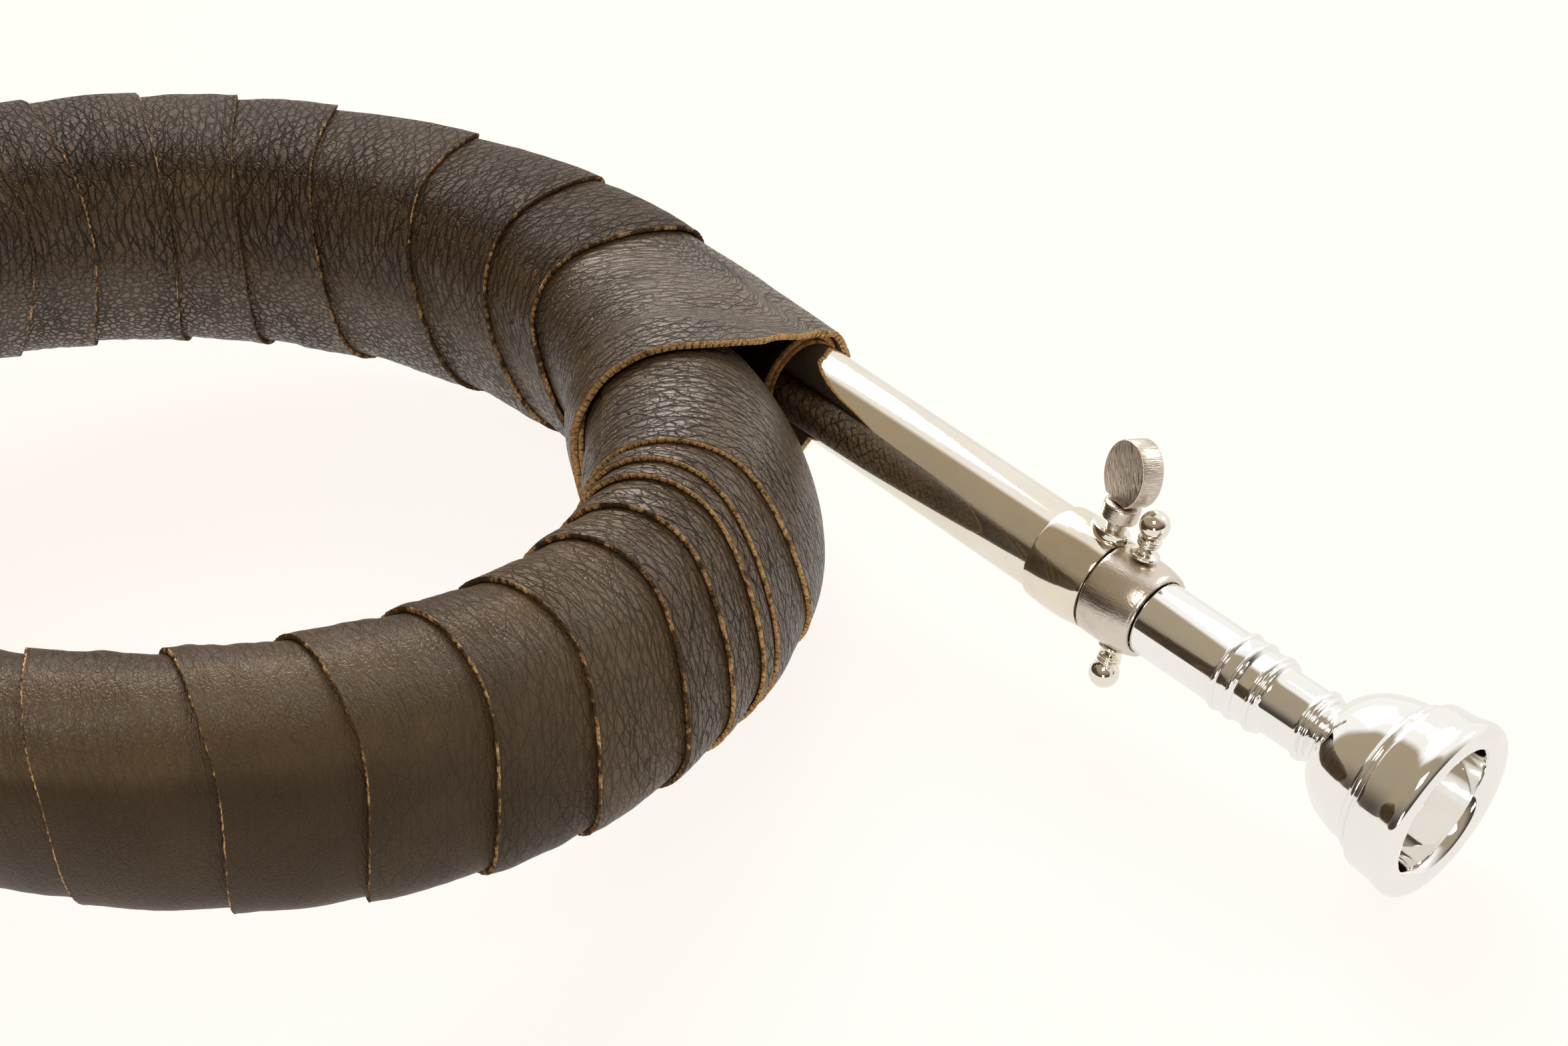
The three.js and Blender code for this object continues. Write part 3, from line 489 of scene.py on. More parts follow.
def new_group(name, inputs, outputs, input_kind="NodeSocketFloat"):
    tree = bpy.data.node_groups.new(name, "ShaderNodeTree")
    for label in inputs:
        tree.interface.new_socket(label, in_out="INPUT", socket_type=input_kind)
    for label in outputs:
        tree.interface.new_socket(label, in_out="OUTPUT", socket_type="NodeSocketFloat")
    return tree, tree.nodes.new("NodeGroupInput").outputs, tree.nodes.new("NodeGroupOutput").inputs


def use_group(tree, group, inputs):
    return node(tree, "ShaderNodeGroup", inputs, node_tree=group).outputs


def attribute(tree, name):
    return node(tree, "ShaderNodeAttribute", attribute_name=name).outputs["Fac"]


def object_place(tree):
    return node(tree, "ShaderNodeTexCoord").outputs["Object"]


def math_node(tree, operation, first, second=None):
    inputs = {0: first} if second is None else {0: first, 1: second}
    return node(tree, "ShaderNodeMath", inputs, operation=operation).outputs[0]


def times(tree, first, second):
    return math_node(tree, "MULTIPLY", first, second)


def plus(tree, first, second):
    return math_node(tree, "ADD", first, second)


def dot_with(tree, vector, way):
    return node(tree, "ShaderNodeVectorMath", {0: vector, 1: way}, operation="DOT_PRODUCT").outputs["Value"]


def ramp(tree, value, low, high, to_low=0.0, to_high=1.0):
    made = node(tree, "ShaderNodeMapRange", {
        "Value": value, "From Min": low, "From Max": high, "To Min": to_low, "To Max": to_high,
    }, interpolation_type="SMOOTHSTEP")
    return made.outputs["Result"]


def blend_color(tree, share, first, second):
    return node(tree, "ShaderNodeMix", {0: share, 6: first, 7: second}, data_type="RGBA").outputs[2]


def noise_of(tree, vector, scale, detail=3.0, rough=0.5, distortion=0.0, output="Fac"):
    return node(tree, "ShaderNodeTexNoise", {
        "Vector": vector, "Scale": scale, "Detail": detail, "Roughness": rough, "Distortion": distortion,
    }).outputs[output]


def stretched(tree, vector, scale):
    return node(tree, "ShaderNodeMapping", {"Vector": vector, "Scale": scale}).outputs["Vector"]


def add_bump(tree, height, strength, distance):
    return node(tree, "ShaderNodeBump", {
        "Strength": strength, "Distance": distance, "Height": height,
    }).outputs["Normal"]


def net_of(tree, vector, size, width):
    """Cells parted by thin lines: 0 on a line, 1 inside a cell"""
    cells = node(tree, "ShaderNodeTexVoronoi", {"Vector": stretched(tree, vector, size), "Scale": 1},
                 feature="DISTANCE_TO_EDGE")
    return ramp(tree, cells.outputs["Distance"], 0.0, width)


def wandering(tree, vector, turn, spacing, width, sway, start):
    """Side by side lines that sway, meet and fade: 0 on a line, 1 beside it"""
    turned = node(tree, "ShaderNodeMapping", {
        "Vector": vector, "Location": (start, start * 1.7, 0), "Rotation": (0, 0, turn * DEGREE),
    }).outputs["Vector"]
    across = node(tree, "ShaderNodeSeparateXYZ", {0: turned}).outputs["Y"]
    drift = noise_of(tree, stretched(tree, turned, (0.11, 0.34, 1.0)), 1.0)
    course = plus(tree, times(tree, across, 1 / spacing), times(tree, drift, sway))
    away = math_node(tree, "ABSOLUTE", math_node(tree, "SUBTRACT", math_node(tree, "FRACT", course), 0.5))
    patches = noise_of(tree, stretched(tree, turned, (0.22, 0.7, 3.0)), 1.0, 2)
    fading = ramp(tree, patches, 0.48, 0.66, 0.0, 0.75)
    return math_node(tree, "MAXIMUM", ramp(tree, away, 0.0, width), fading)


def leather_grain_group():
    """Wrinkles that run along the strip, crossed by slanting ones, and round grain. The shaded valley output
    marks the wrinkle valleys, where the leather's colour gets painted shade.
    """
    tree, entry, result = new_group("leather grain", ("Creases", "Pebbles"), ("Height", "Shaded valley", "Blotch"))
    lay = node(tree, "ShaderNodeUVMap", uv_map="winding").outputs["UV"]
    warp = noise_of(tree, stretched(tree, lay, (0.3, 0.7, 1.0)), 1.0, output="Color")
    bent = node(tree, "ShaderNodeVectorMath", {0: warp, 1: (1.6, 0.9, 0.0), 2: lay},
                operation="MULTIPLY_ADD").outputs[0]

    cells = net_of(tree, bent, (0.5, 0.86, 1.0), 0.075)
    pebbles = net_of(tree, bent, (0.85, 0.95, 1.0), 0.26)
    fine = net_of(tree, bent, (1.5, 2.4, 1.0), 0.2)
    long_lines = wandering(tree, bent, 0, 1.25, 0.15, 1.9, 0.0)
    rising = wandering(tree, bent, 24, 2.0, 0.09, 1.5, 31.0)
    falling = wandering(tree, bent, -31, 2.3, 0.08, 1.6, 73.0)

    broken = plus(tree, times(tree, cells, 0.55), 0.45)
    run_net = times(tree, times(tree, times(tree, rising, falling), broken), long_lines)
    net = node(tree, "ShaderNodeMix", {0: entry["Pebbles"], 2: run_net, 3: pebbles},
               data_type="FLOAT").outputs[0]
    shown = math_node(tree, "MAXIMUM", entry["Creases"], times(tree, entry["Pebbles"], 0.8))
    feed(tree, result["Height"], plus(tree, times(tree, net, shown), times(tree, fine, 0.1)))
    feed(tree, result["Shaded valley"], times(tree, math_node(tree, "SUBTRACT", 1.0, net), shown))
    feed(tree, result["Blotch"], ramp(tree, noise_of(tree, object_place(tree), 55, 4, 0.6), 0.35, 0.68))
    return tree


LEATHER_GRAIN = leather_grain_group()


def brown_leather():
    material, tree = new_material("brown leather")
    gloss_and_shade = attribute(tree, "glossed_and_shaded")
    pebbled_and_lit = attribute(tree, "pebbled_and_lit")
    grain = use_group(tree, LEATHER_GRAIN, {"Creases": attribute(tree, "folded"), "Pebbles": pebbled_and_lit})
    shaded_valley = grain["Shaded valley"]
    bump = add_bump(tree, grain["Height"], 1.0, 0.0003)
    body = blend_color(tree, grain["Blotch"], (0.080, 0.044, 0.0165), (0.116, 0.067, 0.027))
    # Painted shade: where the gloss is low, the body colour is darkened towards near black for the faces that
    # the light misses
    body = blend_color(tree, ramp(tree, gloss_and_shade, 0.0, 0.3, 0.6, 0.0), body, (0.022, 0.012, 0.005))
    # Painted light: the lower inside is coloured lighter, for the light bounced up from the white table
    body = blend_color(tree, times(tree, pebbled_and_lit, 0.6), body, (0.20, 0.135, 0.085))
    return finished(material, {
        # Painted shade: the colour in the grain's valleys is darkened to near black
        "Base Color": blend_color(tree, shaded_valley, body, (0.010, 0.005, 0.002)),
        "Roughness": ramp(tree, shaded_valley, 0.0, 1.0, 0.42, 0.65),
        "Specular IOR Level": 0.10,
        "Coat Weight": times(tree, gloss_and_shade, ramp(tree, shaded_valley, 0.0, 1.0, 0.9, 0.2)),
        "Coat Roughness": 0.34,
        "Coat Normal": bump,
        "Normal": bump,
    })


def suede():
    """The napped inside face of the leather"""
    material, tree = new_material("suede")
    nap = noise_of(tree, object_place(tree), 1500, 5, 0.7)
    return finished(material, {
        "Base Color": blend_color(tree, nap, (0.045, 0.034, 0.025), (0.17, 0.135, 0.10)),
        "Roughness": 0.95,
        "Specular IOR Level": 0.15,
        "Normal": add_bump(tree, nap, 0.6, 0.0002),
    })


def cut_leather(name, notch_shades):
    """The raw tan edge where the leather was cut"""
    material, tree = new_material(name)
    place_at = object_place(tree)
    fibre = noise_of(tree, place_at, 2400, 4, 0.65)
    stain = noise_of(tree, place_at, 420, 4, 0.65)
    tan = blend_color(tree, ramp(tree, fibre, 0.36, 0.68), (0.42, 0.20, 0.06), (0.95, 0.62, 0.28))
    if notch_shades:
        # Painted shade: the notches between the teeth and the lower part of the cut edge are darkened to near
        # black
        deep_shade = times(tree, ramp(tree, attribute(tree, "notch_shade"), 0.55, 0.95), 0.92)
        tan = blend_color(tree, deep_shade, tan, (0.045, 0.020, 0.008))
        wear = plus(tree, stain, times(tree, attribute(tree, "flecked"), 0.35))
        stained = ramp(tree, wear, 0.56, 0.72, 0.0, 0.92)
    else:
        tan = blend_color(tree, 0.35, tan, (0.42, 0.12, 0.045))
        stained = ramp(tree, stain, 0.50, 0.66, 0.0, 0.8)
    return finished(material, {
        "Base Color": blend_color(tree, stained, tan, (0.050, 0.026, 0.012)),
        "Roughness": 0.9,
        "Specular IOR Level": 0.2,
        "Normal": add_bump(tree, fibre, 0.7, 0.0002),
    })


def metal_wear_group():
    """Fine polishing scratches and faint clouding of a metal surface"""
    tree, entry, result = new_group("metal wear", ("Along",), ("Scratch", "Cloud"), "NodeSocketVector")
    feed(tree, result["Scratch"], ramp(tree, noise_of(tree, entry["Along"], 1.0, 3, 0.6), 0.3, 0.72))
    feed(tree, result["Cloud"], ramp(tree, noise_of(tree, object_place(tree), 70, 4, 0.6), 0.35, 0.7))
    return tree


METAL_WEAR = metal_wear_group()


def metal(name, bright, dull, rough, worn_rough, scratch_scale, bump):
    """Metal with scratches stretched by scratch_scale"""
    material, tree = new_material(name)
    wear = use_group(tree, METAL_WEAR, {"Along": stretched(tree, object_place(tree), scratch_scale)})
    scratched = times(tree, wear["Scratch"], wear["Cloud"])
    if bump:
        finished(material, {"Normal": add_bump(tree, wear["Scratch"], bump, 0.00005)})
    return finished(material, {
        "Base Color": blend_color(tree, wear["Cloud"], bright, dull),
        "Metallic": 1,
        "Roughness": ramp(tree, scratched, 0.0, 1.0, rough, worn_rough),
    })


def brushed(name, across, along, scale, bright, dull, rough, bump):
    """Metal with strokes of a brush or file left in it, across and along its flat face"""
    material, tree = new_material(name)
    place_at = object_place(tree)
    ways = [dot_with(tree, place_at, way * size) for way, size in zip((across, along), scale)]
    lay = node(tree, "ShaderNodeCombineXYZ", dict(enumerate(ways))).outputs[0]
    stroke = ramp(tree, noise_of(tree, lay, 1.0, 2, 0.5, 0.15), 0.36, 0.64)
    cloud = ramp(tree, noise_of(tree, place_at, 260, 3, 0.6), 0.4, 0.7, 0.0, 0.35)
    return finished(material, {
        "Base Color": blend_color(tree, cloud, blend_color(tree, stroke, dull, bright), dull),
        "Metallic": 1,
        "Roughness": rough,
        "Normal": add_bump(tree, stroke, bump, 0.00006),
    })


BROWN_LEATHER = brown_leather()
SUEDE = suede()
CUT_LEATHER = cut_leather("raw cut leather", True)
RAW_END = cut_leather("raw leather end", False)
NICKEL_SILVER = metal("polished nickel silver", (0.86, 0.815, 0.725), (0.81, 0.76, 0.66),
                      0.05, 0.12, (900, 900, 900), 0.0)
WARM_NICKEL = metal("yellowed nickel silver", (0.84, 0.77, 0.655), (0.77, 0.70, 0.585),
                    0.06, 0.16, (1400, 500, 1400), 0.0)
SATIN_NICKEL = metal("satin nickel silver", (0.70, 0.63, 0.56), (0.52, 0.45, 0.39),
                     0.20, 0.36, (4200, 600, 4200), 0.3)
SCREW = local_frame(PIPE_START + PIPE_AXIS * SCREW_PLACE, SCREW_AXIS, -PIPE_AXIS)
SCREW = SCREW @ Matrix.Rotation(HEAD_TURN, 4, "Z")
HEAD_X, HEAD_Y, HEAD_Z = (Vector(SCREW.col[k][:3]) for k in range(3))
HATCHED_NICKEL = brushed("hatched nickel silver", HEAD_X * math.cos(HATCH) + HEAD_Z * math.sin(HATCH),
                         HEAD_Z * math.cos(HATCH) - HEAD_X * math.sin(HATCH), (7600, 520),
                         (0.54, 0.465, 0.405), (0.24, 0.195, 0.165), 0.36, 0.8)
BRUSHED_NICKEL = brushed("brushed nickel silver", HEAD_Z, HEAD_Y, (6400, 420),
                         (0.74, 0.66, 0.58), (0.55, 0.48, 0.41), 0.27, 0.5)
SILVER_PLATE = metal("silver plate", (0.93, 0.92, 0.90), (0.90, 0.885, 0.86),
                     0.04, 0.10, (1500, 1500, 1500), 0.0)
YELLOW_BRASS = metal("polished brass", (0.83, 0.58, 0.25), (0.75, 0.50, 0.20),
                     0.07, 0.14, (900, 900, 900), 0.0)


def finish_with(piece, material, body, slot, *nodes):
    if not piece.data.materials:
        piece.data.materials.append(material)
    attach(piece, body)
    if nodes:
        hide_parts(*nodes)
    return piece


# Leather strips

def fold_at(around):
    """How much the leather is gathered: most inside the ring, least outside"""
    return 0.5 - 0.5 * math.cos(around - 8 * DEGREE)


def near_gather(loops):
    """The near strip is wrinkled by the fork and smooth where it is drawn tight"""
    return 0.95 - 0.8 * smooth(loops, 3.5, 8.5)


def near_gloss_and_shade(loops, around):
    """The leather is polished by hands near the fork and along its outer shoulder. Where this gloss is low,
    the leather's colour is darkened as painted shade.
    """
    fork = 1 - smooth(loops, 3.0, 7.5)
    shoulder = max(math.cos(around - 47 * DEGREE), 0) ** 7
    return max(0.08, 0.85 * fork, shoulder)


# Gloss of the far strip; where it is low, the leather's colour is darkened as painted shade
def far_gloss_and_shade(loops, around):
    flap = smooth(loops, FAR_END - 1.6, FAR_END - 0.9)
    crest = max(math.cos(around - 166 * DEGREE), 0) ** 9
    return max(0.05, 0.75 * flap, crest, 0.9 * pebbled_and_lit_at(around))


def creased_at(gather, around, run, across, seed):
    drift = noise.noise(Vector((run / 14, across / 6, seed + 40)))
    level = max(gather, 0.7 * fold_at(around) ** 1.5)
    return min(max(level + 0.35 * drift * level, 0.06), 1)


def pebbled_and_lit_at(around):
    """Round grain shows on the lower inside, where the leather is least stretched. There the leather's colour
    is also lightened as painted light from the white table below.
    """
    return smooth(math.cos(around - 232 * DEGREE), 0.72, 0.95)


def relief(loops, share, around, seed):
    """Soft folds along the strip and a slight crown between its edges"""
    run = loops * GIRTH
    across = share * STRIP_WIDTH
    fold = fold_at(around)
    ripple = noise.noise(Vector((run / 16, across / 1.5, seed)))
    wave = noise.noise(Vector((run / 30, across / 5.5, seed + 7)))
    crown = math.sin(math.pi * min(share / 0.77, 1))
    swell = 0.16 * crown + ripple * (0.05 + 0.16 * fold) + wave * (0.20 + 0.20 * fold)
    return swell * smooth(share, -0.05, 0.12) * (1 - smooth(share, 0.52, 0.75))


def on_table(point):
    """Place of a point of the flat ring, kept just above the table"""
    there = RING @ point
    there.z = max(there.z, TABLE_ROOM)
    return there * MM


def closed_mesh(name, verts, width, count, angle):
    """Skin over count + 1 rows of width points, with both ends filled"""
    faces = []
    for k in range(count):
        for column in range(width):
            a = k * width + column
            b = k * width + (column + 1) % width
            faces.append((a, b, b + width, a + width))
    faces.append(tuple(range(width))[::-1])
    faces.append(tuple(count * width + column for column in range(width)))
    mesh = bpy.data.meshes.new(name)
    mesh.from_pydata(verts, [], faces)
    made = new_object(name, mesh)
    activate(made)
    edit_all()
    close_outward()
    shade(angle * DEGREE)
    return made


def stations(strip, rows_per_loop):
    """Loops wound at each row, closer together where the edge turns sharply at the fork"""
    run = []
    turns = strip["start"]
    while turns < strip["end"]:
        run.append(turns)
        turns += (SHARP_STEP if strip["sharp"][0] < turns < strip["sharp"][1] else 1) / rows_per_loop
    return [*run, strip["end"]]


def add_attributes(mesh, values_by_name):
    for label, values in values_by_name.items():
        mesh.attributes.new(label, "FLOAT", "POINT").data.foreach_set("value", values)


def strip_mesh(name, strip, rows_per_loop=120):
    """The wound strip: many columns on its face, few on its back"""
    face_shares = [k / FACE_COLUMNS * SHOWN_SHARE for k in range(FACE_COLUMNS + 1)] + [1.0]
    back_shares = [1.0, 0.66, 0.33, 0.0]
    columns = [(share, True) for share in face_shares] + [(share, False) for share in back_shares]
    width = len(columns)
    rows = stations(strip, rows_per_loop)
    verts = []
    lays = []
    marks = {"folded": [], "pebbled_and_lit": [], "glossed_and_shaded": []}
    run = 0.0
    last = None
    for turns in rows:
        around = WIND_START + turns * TURN
        edge = strip["edge_at"](turns)
        tuck = tucked_edge(strip["edge_at"], strip["limit"], strip["start"], turns)
        ending = strip["end_share"](turns)
        thick = lerp(LEATHER, END_LEATHER, ending)
        gather = strip["gather_at"](turns)
        gloss_and_shade = strip["gloss_and_shade_at"](turns, around)
        row = []
        for share, face in columns:
            angle = lerp(edge, tuck, share)
            lift = SEAT + PLY_RISE * (1 - ending) * (1 - share)
            if face:
                lift += LEATHER + relief(turns, share, around, strip["seed"])
            else:
                lift += LEATHER - thick
            row.append(ring_point(angle, *outline(strip["ellipses_at"](angle), around, lift)))
        if last is not None:
            run += (row[8] - last).length
        last = row[8]
        across = 0.0
        for index, point in enumerate(row):
            if index:
                across += (point - row[index - 1]).length
            lays.append((run, across))
            marks["folded"].append(creased_at(gather, around, run, across, strip["seed"]))
            marks["pebbled_and_lit"].append(pebbled_and_lit_at(around))
            marks["glossed_and_shaded"].append(gloss_and_shade)
            verts.append(on_table(point))
    count = len(rows) - 1
    made = closed_mesh(name, verts, width, count, 50)
    mesh = made.data
    uv = mesh.uv_layers.new(name="winding")
    for loop in mesh.loops:
        uv.data[loop.index].uv = lays[loop.vertex_index]
    add_attributes(mesh, marks)
    mesh.materials.append(BROWN_LEATHER)
    mesh.materials.append(SUEDE)
    faces_out = len(face_shares)
    for face in mesh.polygons:
        if face.index < count * width and face.index % width >= faces_out:
            face.material_index = 1
    return made


def cut_edge_mesh(name, strip, rows_per_loop=420):
    """The raw edge of a strip, cut with small teeth"""
    rows = stations(strip, rows_per_loop)
    lows = []
    highs = []
    for turns in (rows[0], *rows, rows[-1]):
        around = WIND_START + turns * TURN
        edge = strip["edge_at"](turns)
        ending = strip["end_share"](turns)
        top = SEAT + PLY_RISE * (1 - ending) + LEATHER
        ellipses = strip["ellipses_at"](edge)
        lows.append(ring_point(edge, *outline(ellipses, around, top - lerp(LEATHER, END_LEATHER, ending))))
        highs.append(ring_point(edge, *outline(ellipses, around, top)))
    verts = []
    notch_shades = []
    flecks = []
    run = 0.0
    seed = strip["seed"]
    for k, turns in enumerate(rows):
        low = lows[k + 1]
        out = highs[k + 1] - low
        thick = out.length
        out.normalize()
        course = (lows[k + 2] - lows[k]).normalized()
        ahead = out.cross(course).normalized()
        if ahead.dot(Vector((low.y, -low.x, 0))) < 0:
            ahead.negate()
        run += (lows[k + 1] - lows[k]).length
        rag = noise.noise(Vector((run / 0.9, seed, 0)))
        nick = noise.noise(Vector((run / 5, seed, 4)))
        phase = (run / TOOTH + 0.25 * noise.noise(Vector((run / 7, seed, 9)))) % 1
        tooth = smooth(phase, 0.0, 0.35) * (1 - smooth(phase, 0.62, 0.95))
        reach = 0.06 + 0.22 * tooth * (0.75 + 0.5 * nick) + 0.08 * rag
        fleck = strip["fleck_at"](turns) * (0.8 + 0.6 * noise.noise(Vector((run / 9, seed, 14))))
        profile = ((-0.2, thick - 0.1, 0), (reach * 0.8, thick + 0.03 + 0.06 * rag, 0),
                   (reach, thick * 0.62, 0), (reach * 0.9, thick * 0.35, 1), (reach * 0.3, -0.02, 1),
                   (-0.2, 0.1, 1))
        for forward, up, deep_shade in profile:
            verts.append(on_table(low + out * up + ahead * forward))
            # Painted shade for the notches, full on the lower points of the edge and less on the upper ones
            notch_shades.append(max(1 - tooth, 0.0) * (1.0 if deep_shade else 0.7))
            flecks.append(fleck)
    made = closed_mesh(name, verts, 6, len(rows) - 1, 45)
    add_attributes(made.data, {"notch_shade": notch_shades, "flecked": flecks})
    return made


def near_fleck(loops):
    """Share of the edge that is dark: the edges before the bright fork are stained here and there"""
    return 0.15 + 0.55 * smooth(loops, 3.2, 4.6) - 0.35 * smooth(loops, 8.5, 10.5)


def far_fleck(loops):
    return 0.75 - 0.75 * smooth(loops, FAR_END - 1.6, FAR_END - 1)


def make_leather():
    strips = ({
        "name": "near_leather", "node": "near_leather_strip", "seed": 3.1,
        "start": NEAR_START, "end": NEAR_LOOPS + NEAR_TAIL, "limit": NEAR_TUCK, "sharp": (0, 0),
        "edge_at": near_edge, "ellipses_at": near_ellipses, "end_share": lambda loops: 0,
        "gather_at": near_gather, "gloss_and_shade_at": near_gloss_and_shade, "fleck_at": near_fleck,
    }, {
        "name": "far_leather", "node": "far_leather_strip", "seed": 9.4,
        "start": 0, "end": FAR_END, "limit": FAR_TUCK, "sharp": SHARP_LOOPS,
        "edge_at": far_edge, "ellipses_at": far_ellipses, "end_share": far_end_share,
        "gather_at": lambda loops: 0.8, "gloss_and_shade_at": far_gloss_and_shade, "fleck_at": far_fleck,
    })
    for strip in strips:
        wound = strip_mesh(strip["name"], strip)
        finish_with(wound, BROWN_LEATHER, "horn", "leather", strip["node"])
        band = cut_edge_mesh(strip["name"] + "_cut_edge", strip)
        finish_with(band, CUT_LEATHER, "horn", "leather")


# Mouthpipe, slide and lock

PIPE = local_frame(PIPE_START, PIPE_AXIS, SCREW_AXIS)


def on_pipe(along, sideways=1):
    """Frame of something that stands square on the mouthpipe"""
    return local_frame(PIPE_START + PIPE_AXIS * along, SCREW_AXIS * sideways, PIPE_AXIS)


def tube_profile(radius, start, middle, end):
    bore = radius - TUBE_WALL
    return [(radius, start), (radius, middle), (radius, end), (bore, end), (bore, start)]


def make_mouthpipe():
    outer = turned_piece("mouthpipe_tube", tube_profile(OUTER_TUBE, 13, 55, 97), PIPE, 128)
    finish_with(outer, NICKEL_SILVER, "horn", "nickel_silver", "mouthpipe_outer_tube")

    inner = turned_piece("slide_tube", tube_profile(SLIDE_TUBE, 34, 70, 107), PIPE, 96)
    finish_with(inner, NICKEL_SILVER, "slide", "nickel_silver", "tuning_slide_tube")

    lock = turned_piece("fixed_ferrule", flowing([
        (6.98, 90.85), (7.16, 91.0), (7.27, 91.6), (7.36, 93.0), (7.4, 94.8), (7.34, 96.8),
        (7.16, 98.6), (6.98, 99.9), (6.88, 100.3)], 5)
        + [(6.1, 100.3), (6.1, 97.3), (6.6, 97.3), (6.6, 90.85)], PIPE, 128, 0.06)
    finish_with(lock, WARM_NICKEL, "horn", "nickel_silver", "lock_ferrule")

    sleeve = turned_piece("sliding_ferrule", flowing([
        (6.84, 100.7), (6.9, 101.2), (6.93, 103.0), (6.9, 105.0), (6.78, 106.7),
        (6.5, 108.2), (6.3, 108.75), (6.22, 109.0)], 5)
        + [(5.55, 109.0), (5.55, 107.3), (6.05, 107.3), (6.05, 100.7)], PIPE, 128, 0.06)
    finish_with(sleeve, SATIN_NICKEL, "slide", "satin_nickel_silver", "slide_collar")

    collar = turned_piece("inner_leather_collar", [
        (6.62, 33), (7.55, 33), (7.6, 33.4), (7.6, 36), (7.62, 39.2), (7.55, 39.5), (7.35, 39.7),
        (6.9, 39.75), (6.68, 39.6), (6.62, 39.3), (6.62, 36),
    ], PIPE, 96, 0)
    collar.data.materials.append(BROWN_LEATHER)
    collar.data.materials.append(RAW_END)
    along = PIPE_AXIS.normalized()
    raw_from = 39.25
    for face in collar.data.polygons:
        if (face.center / MM - PIPE_START).dot(along) > raw_from:
            face.material_index = 1
    finish_with(collar, BROWN_LEATHER, "horn", "leather", "mouthpipe_leather_collar")


def make_boss():
    """Flat-cut leaf-shaped pad on the fixed ferrule, where the screw goes in"""
    half_length = 3.2
    deselect()
    bpy.ops.mesh.primitive_cylinder_add(vertices=64, radius=1, depth=1.3, end_fill_type="NGON")
    pad = edit_primitive("screw_pad")
    bpy.ops.transform.resize(value=(half_length, 2.2, 1))
    bpy.ops.transform.translate(value=(0, 0, 7.55))
    bpy.ops.object.mode_set(mode="OBJECT")
    for corner in pad.data.vertices:
        reach = abs(corner.co.x) / half_length
        corner.co.y *= 1 - 0.35 * reach ** 3
    round_edges(pad, 0.12, 3, 40)
    shade()
    place(pad, on_pipe(98.0))
    finish_with(pad, NICKEL_SILVER, "horn", "nickel_silver", "thumb_screw_boss")


def make_thumb_screw():
    profile = ([(0, 6.05), (0.8, 6.05), (1.15, 6.45), (1.15, 8.3), (1.45, 8.45), (1.5, 9.3)]
               + flowing([(1.6, 9.65), (2.2, 9.85), (2.58, 10.15), (2.65, 10.7),
                          (2.65, 11.9), (2.5, 12.35), (1.9, 12.6)], 4)
               + [(0, 12.6)])
    stem = turned_piece("screw_stem", profile, on_pipe(SCREW_PLACE), 64, 0.05, closed=False)
    finish_with(stem, SATIN_NICKEL, "thumb_screw", "satin_nickel_silver", "thumb_screw_stem")

    # The head is a thick disc stretched upright and cut flat where it meets the stem
    half_height = 4.9
    foot = 12.9
    cut_off = 0.7
    deselect()
    bpy.ops.mesh.primitive_cylinder_add(vertices=96, radius=1, depth=3.6, end_fill_type="NGON")
    head = edit_primitive("screw_head")
    bpy.ops.transform.resize(value=(4.3, half_height, 1))
    bpy.ops.transform.rotate(value=math.pi / 2, orient_axis="X", center_override=(0, 0, 0))
    bpy.ops.transform.translate(value=(0, 0, foot + half_height - cut_off))
    bpy.ops.mesh.bisect(plane_co=(0, 0, foot), plane_no=(0, 0, 1), clear_inner=True, use_fill=True)
    bpy.ops.object.mode_set(mode="OBJECT")
    round_edges(head, 0.28, 3, 40)
    shade()
    head.data.materials.append(BRUSHED_NICKEL)
    head.data.materials.append(HATCHED_NICKEL)
    for face in head.data.polygons:
        if abs(face.normal.y) > 0.8:
            face.material_index = 1
    place(head, SCREW)
    finish_with(head, BRUSHED_NICKEL, "thumb_screw", "satin_nickel_silver", "thumb_screw_head")


def make_posts():
    foot = 7.2
    ball_at = 12.1
    ball = 2.15
    neck = ball_at - ball
    profile = ([(0, foot)] + arc((1.85, foot + 0.3), 0.3, -90, 60, 4)
               + flowing([(1.75, foot + 0.65), (1.2, foot + 0.95), (0.92, foot + 1.5), (0.85, neck - 1.1)], 4)
               + arc((1.35, neck - 0.72), 0.3, -70, 70, 5)
               + [(1.15, neck - 0.38)]
               + arc((1.45, neck - 0.08), 0.28, -70, 70, 5)
               + [(1.15, neck + 0.25)]
               + arc((0, ball_at), ball, -52, 90, 18))
    for name, side in (("upper", 1), ("lower", -1)):
        post = turned_piece(name + "_post", profile, on_pipe(104.3, side), 64, 0, closed=False)
        finish_with(post, NICKEL_SILVER, "slide", "nickel_silver", name + "_finger_post")


